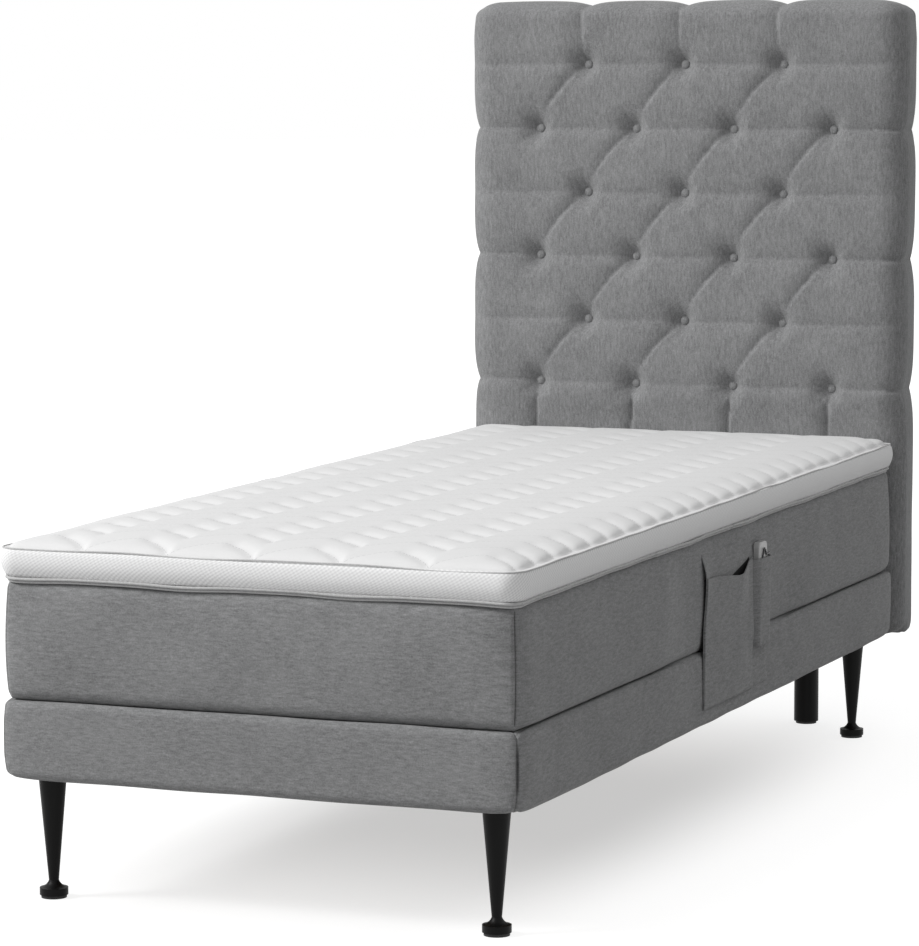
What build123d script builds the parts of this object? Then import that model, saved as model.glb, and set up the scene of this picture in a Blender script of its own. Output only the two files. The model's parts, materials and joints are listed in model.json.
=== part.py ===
from build123d import *
import math
import os

# Adjustable single bed: an upholstered box base on turned legs, a lifting frame of four hinged
# decks inside it, a mattress and a topper that bend with the decks, and a deep-buttoned headboard
# that stands on two legs of its own. A side pocket holds the handset.
# Z is up from the floor, Y runs from the foot end to the headboard and X goes across the bed.
# The origin is on the floor under the middle of the overall box. Lengths are in millimetres.

# Lying surface, from the foot end: calf, thigh, seat and back sections
bed_width = 900.0
calf_length = 490.0
thigh_length = 400.0
seat_length = 400.0
back_length = 810.0

# Heights, from the floor up
glide_height = 5.0
leg_height = 200.0
base_height = 128.0
mattress_gap = 1.3
mattress_height = 197.0
topper_side_height = 53.7
topper_crown = 19.0

# Upholstered base
cover_thickness = 12.0
cover_lip = 4.0
cover_low_round = 18.0
cover_top_round = 9.0
board_thickness = 18.0
corner_block_width = 80.0
corner_block_height = 70.0

# Turned legs
leg_top_radius = 23.5
leg_ankle_radius = 8.25
leg_ankle_height = 12.0
leg_flange_radius = 23.5
leg_flange_height = 12.0
leg_flare_share = 0.35
glide_radius = 21.0
leg_side_inset = 59.0
leg_foot_inset = 60.0
leg_head_inset = 72.0
stud_radius = 4.0
stud_length = 30.0
stud_clearance = 0.1

# Lifting frame
rail_depth = 20.0
rail_height = 40.0
rail_wall = 2.5
rail_end_gap = 4.0
deck_thickness = 12.0
deck_rest_gap = 0.3
deck_side_gap = 10.0
deck_joint_gap = 16.0
deck_end_gap = 6.0
deck_corner_round = 25.0
hinge_drop = 10.3
pin_radius = 5.0
pin_head_radius = 7.0
pin_head_thickness = 3.0
pin_side_play = 0.3
running_clearance = 0.05
bore_overrun = 1.5
ear_radius = 14.0
ear_thickness = 5.0
ear_spacing = 7.0
ear_rail_gap = 1.5
flange_width = 40.0
flange_thickness = 4.0
flange_ear_gap = 1.5
bracket_length_share = 0.42
link_drop = 20.0
link_half_width = 10.0
link_pivot_share = 0.875
link_open_clearance = 0.3

# Drives: each rod pushes a pin along a slot in a lever under its deck
back_angle = 60.0
thigh_angle = 35.0
drive_drop = 78.0
drive_offset = 120.0
lever_half_width = 14.0
lever_thickness = 8.0
lever_foot_length = 88.0
lever_foot_width = 40.0
slot_clearance = 1.9
slot_end_clearance = 0.6
fork_gap = 1.5
fork_wall = 4.0
fork_reach = 28.0
fork_bridge = 8.0
fork_half_height = 11.0
rod_radius = 8.0
rod_clearance = 0.1
rod_length = 150.0
motor_tube_radius = 14.0
motor_tube_end_gap = 16.0
gearbox_length = 56.0
gearbox_height = 44.0
gearbox_width = 84.0
gearbox_round = 6.0
motor_can_radius = 20.0
motor_can_length = 92.0
motor_eye_radius = 11.0
motor_eye_thickness = 12.0
cross_tube_size = 25.0
cross_tube_wall = 2.5
cross_tube_drop = 5.0
hanger_thickness = 5.0
hanger_gap = 0.5
back_anchor_inset = 60.0
leg_anchor_inset = 75.0

# Control box under the seat deck
control_width = 150.0
control_length = 110.0
control_height = 44.0
control_round = 5.0
control_side = 300.0
socket_width = 22.0
socket_height = 12.0
socket_depth = 14.0
socket_shares = (-0.3, 0.0, 0.3)

# Mattress and topper
mattress_half = 443.0
mattress_bulge = 5.0
mattress_round = 13.0
mattress_end_inset = 3.0
topper_half = 446.0
topper_bulge = 6.0
topper_round = 5.0
topper_overhang = 3.0
topper_head_gap = 1.5
crown_run = 60.0
crown_run_share = 0.4
crown_rise_share = 0.65
soft_gap = 0.3
bend_margin_angle = 0.5
back_bend_foot = 14.0
thigh_bend_foot = 9.0

# Quilting of the topper: sewn zigzag channels across the bed
quilt_rows = 25
quilt_pitch = 83.6
quilt_wave = 150.0
quilt_height = 60.0
quilt_first_row = 38.0
quilt_width = 7.0
quilt_depth = 3.2

# Headboard
headboard_width = 928.0
headboard_depth = 109.0
headboard_gap = 2.0
headboard_bottom = 200.0
headboard_top = 1478.0
headboard_round = 28.0
core_width = 860.0
core_depth = 65.0
core_back_inset = 12.0
core_top_inset = 34.0
back_cloth_thickness = 2.0
tuft_pitch_x = 210.6
tuft_pitch_z = 131.2
tuft_top_drop = 126.0
tuft_rows = 6
tuft_depth = 22.0
tuft_radius = 36.0
tuft_floor_radius = 11.0
crease_width = 84.0
crease_depth = 12.5
side_crease_width = 46.0
side_crease_depth = 9.0
button_radius = 9.5
button_height = 6.0
headboard_leg_radius = 25.0
headboard_leg_x = 255.0
bolt_radius = 4.0
bolt_head_radius = 8.0
bolt_head_height = 5.0
bolt_x = 300.0
bolt_rise = 65.0
bolt_bite = 40.0
bolt_clearance = 0.2

# Side pocket, pouch and handset sleeve
pocket_gap = 0.3
pocket_sheet = 2.0
pocket_top = 508.0
pocket_bottom = 232.0
pocket_inset = 10.0
pocket_end_gap = 26.0
pocket_lip_height = 8.0
pouch_inset = 1.0
pouch_mouth = 457.0
pouch_bulge = 23.0
pouch_foot_bulge = 5.0
sleeve_length = 98.0
sleeve_mouth = 467.0
sleeve_bottom = 308.0
sleeve_depth = 18.7
sleeve_corner = 9.0
sleeve_taper = 30.0
sleeve_seam = 4.0
pocket_wall = 2.0

# Handset
handset_width = 48.0
handset_thickness = 11.0
handset_height = 185.7
handset_round = 10.0
handset_edge_round = 2.5
handset_panel_gap = 1.7
handset_floor_gap = 0.3
handset_inset = 8.0
key_width = 17.0
key_height = 14.0
key_proud = 0.9
key_thickness = 3.0
key_travel = 0.8
key_spare = 0.4
key_clearance = 0.3
key_column_shares = (-0.22, 0.22)
key_row_shares = (0.30, 0.16)
hook_wire_radius = 1.5
hook_bend_radius = 4.0
hook_gap = 0.3
hook_width = 23.0
hook_leg = 34.0
hook_arch = 20.0
hook_arch_share = 0.45
hook_valley = 4.0
hook_tip = 7.0
hook_tip_run = 15.0
hook_inset = 15.0

overrun = 20.0

# Derived places along the bed
bed_length = calf_length + thigh_length + seat_length + back_length
overall_length = topper_overhang + bed_length + headboard_gap + headboard_depth
pocket_length = seat_length - pocket_inset - pocket_end_gap
pouch_length = pocket_length - pouch_inset - sleeve_length
foot_y = topper_overhang - overall_length / 2
knee_y = foot_y + calf_length
thigh_y = knee_y + thigh_length
back_y = thigh_y + seat_length
head_y = foot_y + bed_length
headboard_front = head_y + headboard_gap
headboard_back = headboard_front + headboard_depth

# Derived heights
base_bottom = glide_height + leg_height
base_top = base_bottom + base_height
deck_top = base_top + mattress_gap
deck_bottom = deck_top - deck_thickness
rail_top = deck_bottom - deck_rest_gap
rail_bottom = rail_top - rail_height
hinge_z = deck_bottom - hinge_drop
mattress_top = deck_top + mattress_height
topper_edge = mattress_top + topper_side_height
topper_top = topper_edge + topper_crown
drive_z = hinge_z - drive_drop
tuft_top_row = headboard_top - tuft_top_drop

# Derived places across the bed
half_width = bed_width / 2
board_outer = half_width - cover_thickness
board_inner = board_outer - board_thickness
rail_inner = board_inner - rail_depth
deck_half = board_inner - deck_side_gap
outer_ear = rail_inner - ear_rail_gap
inner_ear = outer_ear - ear_spacing
link_outer = inner_ear - ear_spacing
link_inner = link_outer - ear_thickness
link_reach = link_pivot_share * thigh_length


def block(x0, x1, y0, y1, z0, z1):
    """A box from its lowest to its highest corner."""
    size = Box(x1 - x0, y1 - y0, z1 - z0, align=(Align.MIN, Align.MIN, Align.MIN))
    return Pos(x0, y0, z0) * size


def rod_x(radius, y, z, x0, x1):
    """A round bar along X."""
    bar = Cylinder(radius, x1 - x0, align=(Align.CENTER, Align.CENTER, Align.MIN))
    return Pos(x0, y, z) * Rot(0, 90, 0) * bar


def rod_y(radius, x, z, y0, y1):
    """A round bar along Y."""
    bar = Cylinder(radius, y1 - y0, align=(Align.CENTER, Align.CENTER, Align.MIN))
    return Pos(x, y0, z) * Rot(-90, 0, 0) * bar


def rod_z(radius, x, y, z0, z1):
    """A round bar along Z."""
    return Pos(x, y, z0) * Cylinder(radius, z1 - z0, align=(Align.CENTER, Align.CENTER, Align.MIN))


def side_prism(points, x0, x1):
    """An outline of (Y, Z) points, carried along X."""
    face = make_face(Polyline(*points, close=True))
    return Pos(x0, 0, 0) * extrude(Plane.YZ * face, x1 - x0)


def plan_prism(points, z0, z1):
    """An outline of (X, Y) points, carried up along Z."""
    face = make_face(Polyline(*points, close=True))
    return Pos(0, 0, z0) * extrude(face, z1 - z0)


def capsule_x(radius, start, end, x0, x1):
    """A bar along X with a long rounded section between two (Y, Z) points."""
    (ya, za), (yb, zb) = start, end
    run = math.hypot(yb - ya, zb - za)
    across = ((ya - yb) / run * radius, (zb - za) / run * radius)
    corners = [
        (ya + across[1], za + across[0]),
        (yb + across[1], zb + across[0]),
        (yb - across[1], zb - across[0]),
        (ya - across[1], za - across[0]),
    ]
    middle = side_prism(corners, x0, x1)
    return middle + rod_x(radius, ya, za, x0, x1) + rod_x(radius, yb, zb, x0, x1)


def both_sides(piece):
    """The piece and its mirror image across the bed's middle, as two solids."""
    return Compound(children=[piece, mirror(piece, about=Plane.YZ)])


def export(name, *pieces):
    """Writes one node, as one solid or as a group of separate solids."""
    solids = [s for piece in pieces for s in piece.solids()]
    part = solids[0] if len(solids) == 1 else Compound(children=solids)
    export_step(part, f"parts/{name}.step")


# Upholstered base


def base_box(inset, low, high):
    """The block that the base's outline encloses, drawn in by an inset."""
    return block(
        inset - half_width,
        half_width - inset,
        foot_y + inset,
        head_y - inset,
        low,
        high,
    )


def corner_cutter(end_y, inward):
    """A plan trapezium that mitres an end panel of the base between its two corners."""
    reach = cover_thickness + board_thickness + corner_block_width
    outer = half_width + overrun
    points = [
        (-outer, end_y - inward * overrun),
        (outer, end_y - inward * overrun),
        (half_width - reach, end_y + inward * reach),
        (reach - half_width, end_y + inward * reach),
    ]
    return plan_prism(points, base_bottom - overrun, base_top + overrun)


def build_base():
    """The four boards and the four padded panels that wrap round them."""
    inner = cover_thickness + board_thickness
    low, high = base_bottom, base_top
    board_low, board_high = low + cover_lip, high - cover_lip
    hollow = base_box(inner, low - overrun, high + overrun)
    end_boards = base_box(cover_thickness, board_low, board_high)
    foot_board = end_boards & block(
        -half_width, half_width, foot_y, foot_y + inner, low, high
    )
    head_board = end_boards & block(
        -half_width, half_width, head_y - inner, head_y, low, high
    )
    side_board = block(
        board_inner, board_outer, foot_y + inner, head_y - inner, board_low, board_high
    )

    skin = base_box(0, low, high)
    skin = fillet(skin.faces().sort_by(Axis.Z)[0].edges(), cover_low_round)
    skin = fillet(skin.faces().sort_by(Axis.Z)[-1].edges(), cover_top_round)
    skin = skin - hollow - base_box(cover_thickness, board_low, board_high)
    foot_cover = skin & corner_cutter(foot_y, 1)
    head_cover = skin & corner_cutter(head_y, -1)
    side_covers = skin - corner_cutter(foot_y, 1) - corner_cutter(head_y, -1)
    left_cover, right_cover = side_covers.solids().sort_by(Axis.X)

    for x in (-bolt_x, bolt_x):
        hole = headboard_bolt_hole(x)
        head_board -= hole
        head_cover -= hole

    export("foot_board", foot_board)
    export("head_end_board", head_board)
    export("left_side_board", mirror(side_board, about=Plane.YZ))
    export("right_side_board", side_board)
    export("foot_cover", foot_cover)
    export("head_end_cover", head_cover)
    export("left_side_cover", left_cover)
    export("right_side_cover", right_cover)


def leg_places():
    """Name, X and Y of each turned leg's centre line."""
    across = half_width - leg_side_inset
    near, far = foot_y + leg_foot_inset, head_y - leg_head_inset
    return [
        ("foot_left", -across, near),
        ("foot_right", across, near),
        ("head_left", -across, far),
        ("head_right", across, far),
    ]


def turned_leg():
    """One leg, turned: a taper down to a thin ankle and a flared foot, with its stud on top."""
    flange_top = glide_height + leg_flange_height
    ankle = flange_top + leg_ankle_height
    flare_radius = leg_ankle_radius + (leg_flange_radius - leg_ankle_radius) * leg_flare_share
    outline = Polyline(
        (leg_ankle_radius, ankle),
        (leg_top_radius, base_bottom),
        (0, base_bottom),
        (0, glide_height),
        (leg_flange_radius, glide_height),
        (leg_flange_radius, flange_top),
    )
    flare = ThreePointArc(
        (leg_flange_radius, flange_top),
        (flare_radius, flange_top + leg_ankle_height * leg_flare_share),
        (leg_ankle_radius, ankle),
    )
    shape = revolve(Plane.XZ * make_face([outline, flare]), Axis.Z)
    return shape + rod_z(stud_radius, 0, 0, base_bottom, base_bottom + stud_length)


def build_legs():
    """Four turned legs, their corner blocks and the glides under all six legs of the bed."""
    leg = turned_leg()
    blocks, glides = [], []
    inner = cover_thickness + board_thickness
    for name, x, y in leg_places():
        export(f"leg_{name}", Pos(x, y, 0) * leg)
        glides.append(rod_z(glide_radius, x, y, 0, glide_height))
        x0 = board_inner - corner_block_width if x > 0 else -board_inner
        y0 = foot_y + inner if y < 0 else head_y - inner - corner_block_width
        wood = block(
            x0,
            x0 + corner_block_width,
            y0,
            y0 + corner_block_width,
            base_bottom,
            base_bottom + corner_block_height,
        )
        hole = rod_z(
            stud_radius + stud_clearance, x, y, base_bottom, base_bottom + stud_length + stud_clearance
        )
        blocks.append(wood - hole)
    for x in (-headboard_leg_x, headboard_leg_x):
        glides.append(rod_z(glide_radius, x, headboard_leg_y(), 0, glide_height))
    export("corner_blocks", *blocks)
    export("leg_glides", *glides)


# Lifting frame


def build_rails():
    """The two side rails of channel section, with the studs that the calf links turn on."""
    y0 = foot_y + cover_thickness + board_thickness + rail_end_gap
    y1 = head_y - cover_thickness - board_thickness - rail_end_gap
    channel = block(rail_inner, board_inner, y0, y1, rail_bottom, rail_top)
    hollow = block(
        rail_inner + rail_wall,
        board_inner + overrun,
        y0 - overrun,
        y1 + overrun,
        rail_bottom + rail_wall,
        rail_top - rail_wall,
    )
    rail = channel - hollow
    for y in (thigh_y, back_y):
        rail -= rod_x(pin_radius + running_clearance, y, hinge_z, rail_inner - overrun, board_inner)
    stud = rod_x(pin_radius, thigh_y - link_reach, hinge_z - link_drop, link_inner - ear_rail_gap, rail_inner)
    rail += stud
    export("left_rail", mirror(rail, about=Plane.YZ))
    export("right_rail", rail)


def frame_pin(y):
    """A hinge pin in the rail's web: head in the channel, clip ring inside the moving ear."""
    clip = outer_ear - ear_thickness - pin_head_thickness
    web = rail_inner + rail_wall
    shank = rod_x(pin_radius, y, hinge_z, clip, web)
    head = rod_x(pin_head_radius, y, hinge_z, web, web + pin_head_thickness)
    ring = rod_x(pin_head_radius, y, hinge_z, clip, clip + pin_head_thickness - pin_side_play)
    return shank + head + ring


def knee_pin():
    """The pin that joins a thigh ear to a calf ear."""
    inner = inner_ear - ear_thickness - pin_side_play
    shank = rod_x(pin_radius, knee_y, hinge_z, inner, outer_ear)
    head = rod_x(pin_head_radius, knee_y, hinge_z, inner - pin_head_thickness, inner)
    return shank + head


def strap(x_outer, ear_y, toward, length, far_gap=0, end_pivot=None):
    """A steel angle under a deck: a flange below the panel and an upright leg with a round ear.

    The ear stands at ear_y and the angle runs from there in the direction of toward. The flange
    keeps far_gap clear at its far end, and end_pivot adds a second ear at another (Y, Z).
    """
    x_inner = x_outer - ear_thickness
    low = hinge_z - ear_radius
    ends = sorted((ear_y, ear_y + toward * length))
    upright = block(x_inner, x_outer, ends[0], ends[1], low, deck_bottom)
    ends = sorted((ear_y + toward * (ear_radius + flange_ear_gap), ear_y + toward * (length - far_gap)))
    flange = block(
        x_outer - flange_width, x_outer, ends[0], ends[1], deck_bottom - flange_thickness, deck_bottom
    )
    angle = upright + flange + rod_x(ear_radius, ear_y, hinge_z, x_inner, x_outer)
    bore = pin_radius + running_clearance
    angle -= rod_x(bore, ear_y, hinge_z, x_inner - bore_overrun, x_outer + bore_overrun)
    if end_pivot:
        angle += rod_x(ear_radius, *end_pivot, x_inner, x_outer)
    return angle


def build_brackets():
    """Hinge straps under the three moving decks, the knee pins and the calf links."""
    back = strap(outer_ear, back_y, 1, bracket_length_share * back_length)
    export("back_brackets", both_sides(back))

    thigh = strap(outer_ear, thigh_y, -1, thigh_length, ear_radius + flange_ear_gap)
    thigh += rod_x(ear_radius, knee_y, hinge_z, outer_ear - ear_thickness, outer_ear)
    bore = pin_radius + running_clearance
    ear0, ear1 = outer_ear - ear_thickness - bore_overrun, outer_ear + bore_overrun
    thigh -= rod_x(bore, knee_y, hinge_z, ear0, ear1)
    export("thigh_brackets", both_sides(thigh))

    pivot = (knee_y - link_reach, hinge_z - link_drop)
    calf = strap(inner_ear, knee_y, -1, link_reach + flange_width, end_pivot=pivot)
    calf += rod_x(pin_radius, *pivot, link_inner - ear_rail_gap, inner_ear)
    export("calf_brackets", both_sides(calf))

    fixed = (thigh_y - link_reach, hinge_z - link_drop)
    link = capsule_x(link_half_width, fixed, pivot, link_inner, link_outer)
    bar0, bar1 = link_inner - bore_overrun, link_outer + bore_overrun
    link -= rod_x(bore, *fixed, bar0, bar1)
    link -= rod_x(pin_radius + link_open_clearance, *pivot, bar0, bar1)
    export("calf_links", both_sides(link))

    export("knee_pins", both_sides(knee_pin()))
    export("frame_hinge_pins", both_sides(frame_pin(thigh_y)), both_sides(frame_pin(back_y)))


def deck(y0, y1, round_ends):
    """A plywood deck panel; an end at the edge of the bed has rounded corners."""
    panel = block(-deck_half, deck_half, y0, y1, deck_bottom, deck_top)
    for end in round_ends:
        corners = panel.edges().filter_by(Axis.Z).group_by(Axis.Y)[end]
        panel = fillet(corners, deck_corner_round)
    return panel


def build_decks():
    """Four deck panels: the seat's is fixed and the other three turn at their hinges."""
    wall = cover_thickness + board_thickness + deck_end_gap
    export("calf_deck", deck(foot_y + wall, knee_y - deck_joint_gap, [0]))
    export("thigh_deck", deck(knee_y + deck_joint_gap, thigh_y - deck_joint_gap, []))
    export("seat_deck", deck(thigh_y + deck_joint_gap, back_y - deck_joint_gap, []))
    export("back_deck", deck(back_y + deck_joint_gap, head_y - wall, [-1]))


# Drives


def drive_lever(x, hinge_y, toward, swing):
    """A slotted lever under a deck. At rest it leans away from the deck by half its swing."""
    lean = math.radians(swing / 2)
    x0, x1 = x - lever_thickness / 2, x + lever_thickness / 2
    near = drive_drop - slot_end_clearance
    far = drive_drop / math.cos(lean) + slot_end_clearance

    def along(distance):
        return (
            hinge_y - toward * math.sin(lean) * distance,
            hinge_z - math.cos(lean) * distance,
        )

    arm = capsule_x(lever_half_width, along(0), along(far), x0, x1)
    foot0 = hinge_y + toward * (deck_joint_gap + fork_wall)
    foot1 = foot0 + toward * lever_foot_length
    web = side_prism(
        [
            (hinge_y, hinge_z),
            (foot0, deck_bottom),
            (foot1, deck_bottom),
            (foot1, deck_bottom - flange_thickness),
            along(drive_drop / 2),
        ],
        x0,
        x1,
    )
    ends = sorted((foot0, foot1))
    foot = block(
        x - lever_foot_width / 2,
        x + lever_foot_width / 2,
        ends[0],
        ends[1],
        deck_bottom - flange_thickness,
        deck_bottom,
    )
    slot = capsule_x(pin_radius + slot_clearance, along(near), along(far), x0 - overrun, x1 + overrun)
    return arm + web + foot - slot


def drive_pin_y(hinge_y, toward, swing):
    """Where the rod's pin stands at rest, level with the drive's axis."""
    return hinge_y - toward * drive_drop * math.tan(math.radians(swing / 2))


def drive_rod(x, hinge_y, toward, swing):
    """A push rod with a fork at its end and the fork's cross pin."""
    pin_y = drive_pin_y(hinge_y, toward, swing)
    inner = lever_thickness / 2 + fork_gap
    outer = inner + fork_wall
    bridge = pin_y - toward * fork_reach
    back_end = bridge - toward * fork_bridge
    ends = sorted((bridge, back_end))
    low, high = drive_z - fork_half_height, drive_z + fork_half_height
    shape = block(x - outer, x + outer, ends[0], ends[1], low, high)
    ends = sorted((bridge, pin_y))
    for x0 in (x - outer, x + inner):
        shape += block(x0, x0 + fork_wall, ends[0], ends[1], low, high)
        shape += rod_x(fork_half_height, pin_y, drive_z, x0, x0 + fork_wall)
    shape += rod_x(pin_radius, pin_y, drive_z, x - outer, x + outer)
    ends = sorted((back_end, back_end - toward * rod_length))
    return shape + rod_y(rod_radius, x, drive_z, ends[0], ends[1])


def drive_motor(x, hinge_y, toward, swing, anchor_y, side):
    """A linear drive: rear eye, gearbox, motor can beside it and the tube that guides the rod."""
    pin_y = drive_pin_y(hinge_y, toward, swing)
    nose = pin_y - toward * (fork_reach + fork_bridge + motor_tube_end_gap)
    box_start = anchor_y + toward * (motor_eye_radius + gearbox_round)
    box_end = box_start + toward * gearbox_length
    low, high = drive_z - gearbox_height / 2, drive_z + gearbox_height / 2
    ends = sorted((box_start, box_end))
    near = x - side * gearbox_height / 2
    far = near + side * gearbox_width
    walls = sorted((near, far))
    gearbox = block(walls[0], walls[1], ends[0], ends[1], low, high)
    gearbox = fillet(gearbox.edges(), gearbox_round)
    ends = sorted((box_end, nose))
    tube = rod_y(motor_tube_radius, x, drive_z, ends[0], ends[1])
    can_x = far - side * motor_can_radius
    ends = sorted((box_end, box_end + toward * motor_can_length))
    can = rod_y(motor_can_radius, can_x, drive_z, ends[0], ends[1])
    can = fillet(can.edges(), gearbox_round / 2)
    half = motor_eye_thickness / 2
    ends = sorted((anchor_y, box_start + toward * gearbox_round))
    eye = block(x - half, x + half, ends[0], ends[1], drive_z - motor_eye_radius, drive_z + motor_eye_radius)
    eye += rod_x(motor_eye_radius, anchor_y, drive_z, x - half, x + half)
    eye -= rod_x(pin_radius + running_clearance, anchor_y, drive_z, x - gearbox_height, x + gearbox_height)
    ends = sorted((nose + toward * overrun, box_start + toward * gearbox_round))
    bore = rod_y(rod_radius + rod_clearance, x, drive_z, ends[0], ends[1])
    return gearbox + tube + can + eye - bore


def cross_tube(x, y):
    """A square tube between the rails, with the two hanger plates and the pin of a drive."""
    half = cross_tube_size / 2
    top = rail_top - cross_tube_drop
    low = top - cross_tube_size
    tube = block(-rail_inner, rail_inner, y - half, y + half, low, top)
    wall = cross_tube_wall
    tube -= block(
        -rail_inner - overrun, rail_inner + overrun, y - half + wall, y + half - wall, low + wall, top - wall
    )
    inner = motor_eye_thickness / 2 + hanger_gap
    for x0 in (x - inner - hanger_thickness, x + inner):
        tube += block(x0, x0 + hanger_thickness, y - half, y + half, drive_z, low)
        tube += rod_x(half, y, drive_z, x0, x0 + hanger_thickness)
    reach = inner + hanger_thickness
    return tube + rod_x(pin_radius, y, drive_z, x - reach, x + reach)


def build_drives():
    """The two linear drives with their cross tubes, rods and levers."""
    back_anchor = thigh_y + back_anchor_inset
    leg_anchor = back_y - leg_anchor_inset
    export("back_motor_tube", cross_tube(-drive_offset, back_anchor))
    export("leg_motor_tube", cross_tube(drive_offset, leg_anchor))
    export("back_motor", drive_motor(-drive_offset, back_y, 1, back_angle, back_anchor, -1))
    export("leg_motor", drive_motor(drive_offset, thigh_y, -1, thigh_angle, leg_anchor, 1))
    export("back_motor_rod", drive_rod(-drive_offset, back_y, 1, back_angle))
    export("leg_motor_rod", drive_rod(drive_offset, thigh_y, -1, thigh_angle))
    export("back_lever", drive_lever(-drive_offset, back_y, 1, back_angle))
    export("thigh_lever", drive_lever(drive_offset, thigh_y, -1, thigh_angle))


def build_control_box():
    """The control box under the seat deck, with a mains inlet and two drive sockets in its end."""
    middle = (thigh_y + back_y) / 2
    y0, y1 = middle - control_length / 2, middle + control_length / 2
    box = block(
        -control_side - control_width / 2,
        control_width / 2 - control_side,
        y0,
        y1,
        deck_bottom - control_height,
        deck_bottom,
    )
    box = fillet(box.edges().filter_by(Axis.Z), control_round)
    z = deck_bottom - control_height / 2
    for share in socket_shares:
        x = share * control_width - control_side
        box -= block(
            x - socket_width / 2,
            x + socket_width / 2,
            y0 - overrun,
            y0 + socket_depth,
            z - socket_height / 2,
            z + socket_height / 2,
        )
    export("control_box", box)


# Mattress and topper


def padded_profile(half, bulge, low, high, round_, crown):
    """Half outline mirrored: a flat bottom, a bulging side and a top that may rise in a crown."""
    mid = (low + high) / 2
    cut = round_ * (1 - math.sqrt(0.5))
    side = [
        Line((0, low), (half - round_, low)),
        ThreePointArc((half - round_, low), (half - cut, low + cut), (half, low + round_)),
        ThreePointArc((half, low + round_), (half + bulge, mid), (half, high - round_)),
        ThreePointArc((half, high - round_), (half - cut, high - cut), (half - round_, high)),
    ]
    end = half - round_
    if crown:
        inner = end - crown_run
        knee = (end - crown_run * crown_run_share, high + crown * crown_rise_share)
        side.append(ThreePointArc((end, high), knee, (inner, high + crown)))
        side.append(Line((inner, high + crown), (0, high + crown)))
    else:
        side.append(Line((end, high), (0, high)))
    side.append(Line((0, high + crown), (0, low)))
    half_face = make_face(side)
    return half_face + mirror(half_face, about=Plane.YZ)


def padded_body(half_x, half_y, centre_y, bulge, low, high, round_, crown=0):
    """A pad: a profile across the bed and one along it, both carried through and intersected."""
    across = extrude(
        Plane.XZ * padded_profile(half_x, bulge, low, high, round_, crown), half_y + overrun, both=True
    )
    along = extrude(
        Plane.YZ * padded_profile(half_y, bulge, low, high, round_, crown), half_x + overrun, both=True
    )
    return Pos(0, centre_y, 0) * (across & along)


def mattress_side(z):
    """How far out the mattress's bulging side stands at a height."""
    low, high = deck_top + mattress_round, mattress_top - mattress_round
    share = (2 * z - low - high) / (high - low)
    return mattress_half + mattress_bulge * (1 - share * share)


def quilt_cutter(y, depth):
    """One zigzag channel across the topper."""
    steps = math.ceil(topper_half / (quilt_wave / 2)) + 1
    places = [(i * quilt_wave / 2, quilt_height / 2 * (1 if i % 2 else -1)) for i in range(-steps, steps + 1)]
    half = quilt_width / 2
    lower = [(x, y + dy - half) for x, dy in places]
    upper = [(x, y + dy + half) for x, dy in places]
    return plan_prism(lower + upper[::-1], topper_top - depth, topper_top + overrun)


def section_edge(y, foot, angle, toward, z):
    """Where a slanting section face stands at a height."""
    slope = math.tan(math.radians(angle / 2 + bend_margin_angle))
    return y + toward * (foot + (z - deck_top) * slope)


def section_cutters():
    """Prisms that part the pads into sections, with a wedge at each hinge that folds inwards."""
    low, high = deck_top - overrun, topper_top + overrun
    foot, head = foot_y - overrun, head_y + overrun
    reach = half_width + overrun

    def slant(y, foot_width, angle, toward, gap=0):
        return [
            (section_edge(y, foot_width, angle, toward, low) + gap, low),
            (section_edge(y, foot_width, angle, toward, high) + gap, high),
        ]

    thigh_out = slant(thigh_y, thigh_bend_foot, thigh_angle, -1, -soft_gap)
    thigh_wedge = slant(thigh_y, thigh_bend_foot, thigh_angle, -1)
    thigh_in = slant(thigh_y, thigh_bend_foot, thigh_angle, 1)
    back_in = slant(back_y, back_bend_foot, back_angle, -1)
    back_wedge = slant(back_y, back_bend_foot, back_angle, 1)
    back_out = slant(back_y, back_bend_foot, back_angle, 1, soft_gap)
    knee_out = [(knee_y - soft_gap / 2, low), (knee_y - soft_gap / 2, high)]
    knee_in = [(knee_y + soft_gap / 2, low), (knee_y + soft_gap / 2, high)]
    sides = {
        "calf": ([(foot, low), (foot, high)], knee_out),
        "thigh": (knee_in, thigh_out),
        "seat": (thigh_in, back_in),
        "back": (back_out, [(head, low), (head, high)]),
        "thigh_bend": (thigh_wedge, thigh_in),
        "back_bend": (back_in, back_wedge),
    }
    return {name: side_prism(a + b[::-1], -reach, reach) for name, (a, b) in sides.items()}


def build_pads():
    """Mattress and topper, each in four sections and two wedges that deform."""
    cutters = section_cutters()
    middle = (foot_y + head_y) / 2
    mattress = padded_body(
        mattress_half,
        bed_length / 2 - mattress_end_inset - mattress_bulge,
        middle,
        mattress_bulge,
        deck_top,
        mattress_top,
        mattress_round,
    )
    topper_length = bed_length + topper_overhang - topper_head_gap
    topper = padded_body(
        topper_half,
        topper_length / 2 - topper_bulge,
        middle - (topper_overhang + topper_head_gap) / 2,
        topper_bulge,
        mattress_top,
        topper_edge,
        topper_round,
        topper_crown,
    )
    first = foot_y + quilt_first_row
    channels = [quilt_cutter(first + row * quilt_pitch, quilt_depth) for row in range(quilt_rows)]
    topper -= channels
    for name, pad in (("mattress", mattress), ("topper", topper)):
        for section in ("calf", "thigh", "seat", "back"):
            export(f"{name}_{section}", pad & cutters[section])
        export(f"{name}_bends", pad & cutters["thigh_bend"], pad & cutters["back_bend"])


# Headboard


def headboard_leg_y():
    """The line on which the headboard's two legs stand, under its core."""
    return core_front() + headboard_leg_radius


def core_front():
    """Front face of the headboard's core."""
    return headboard_back - core_back_inset - core_depth


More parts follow.
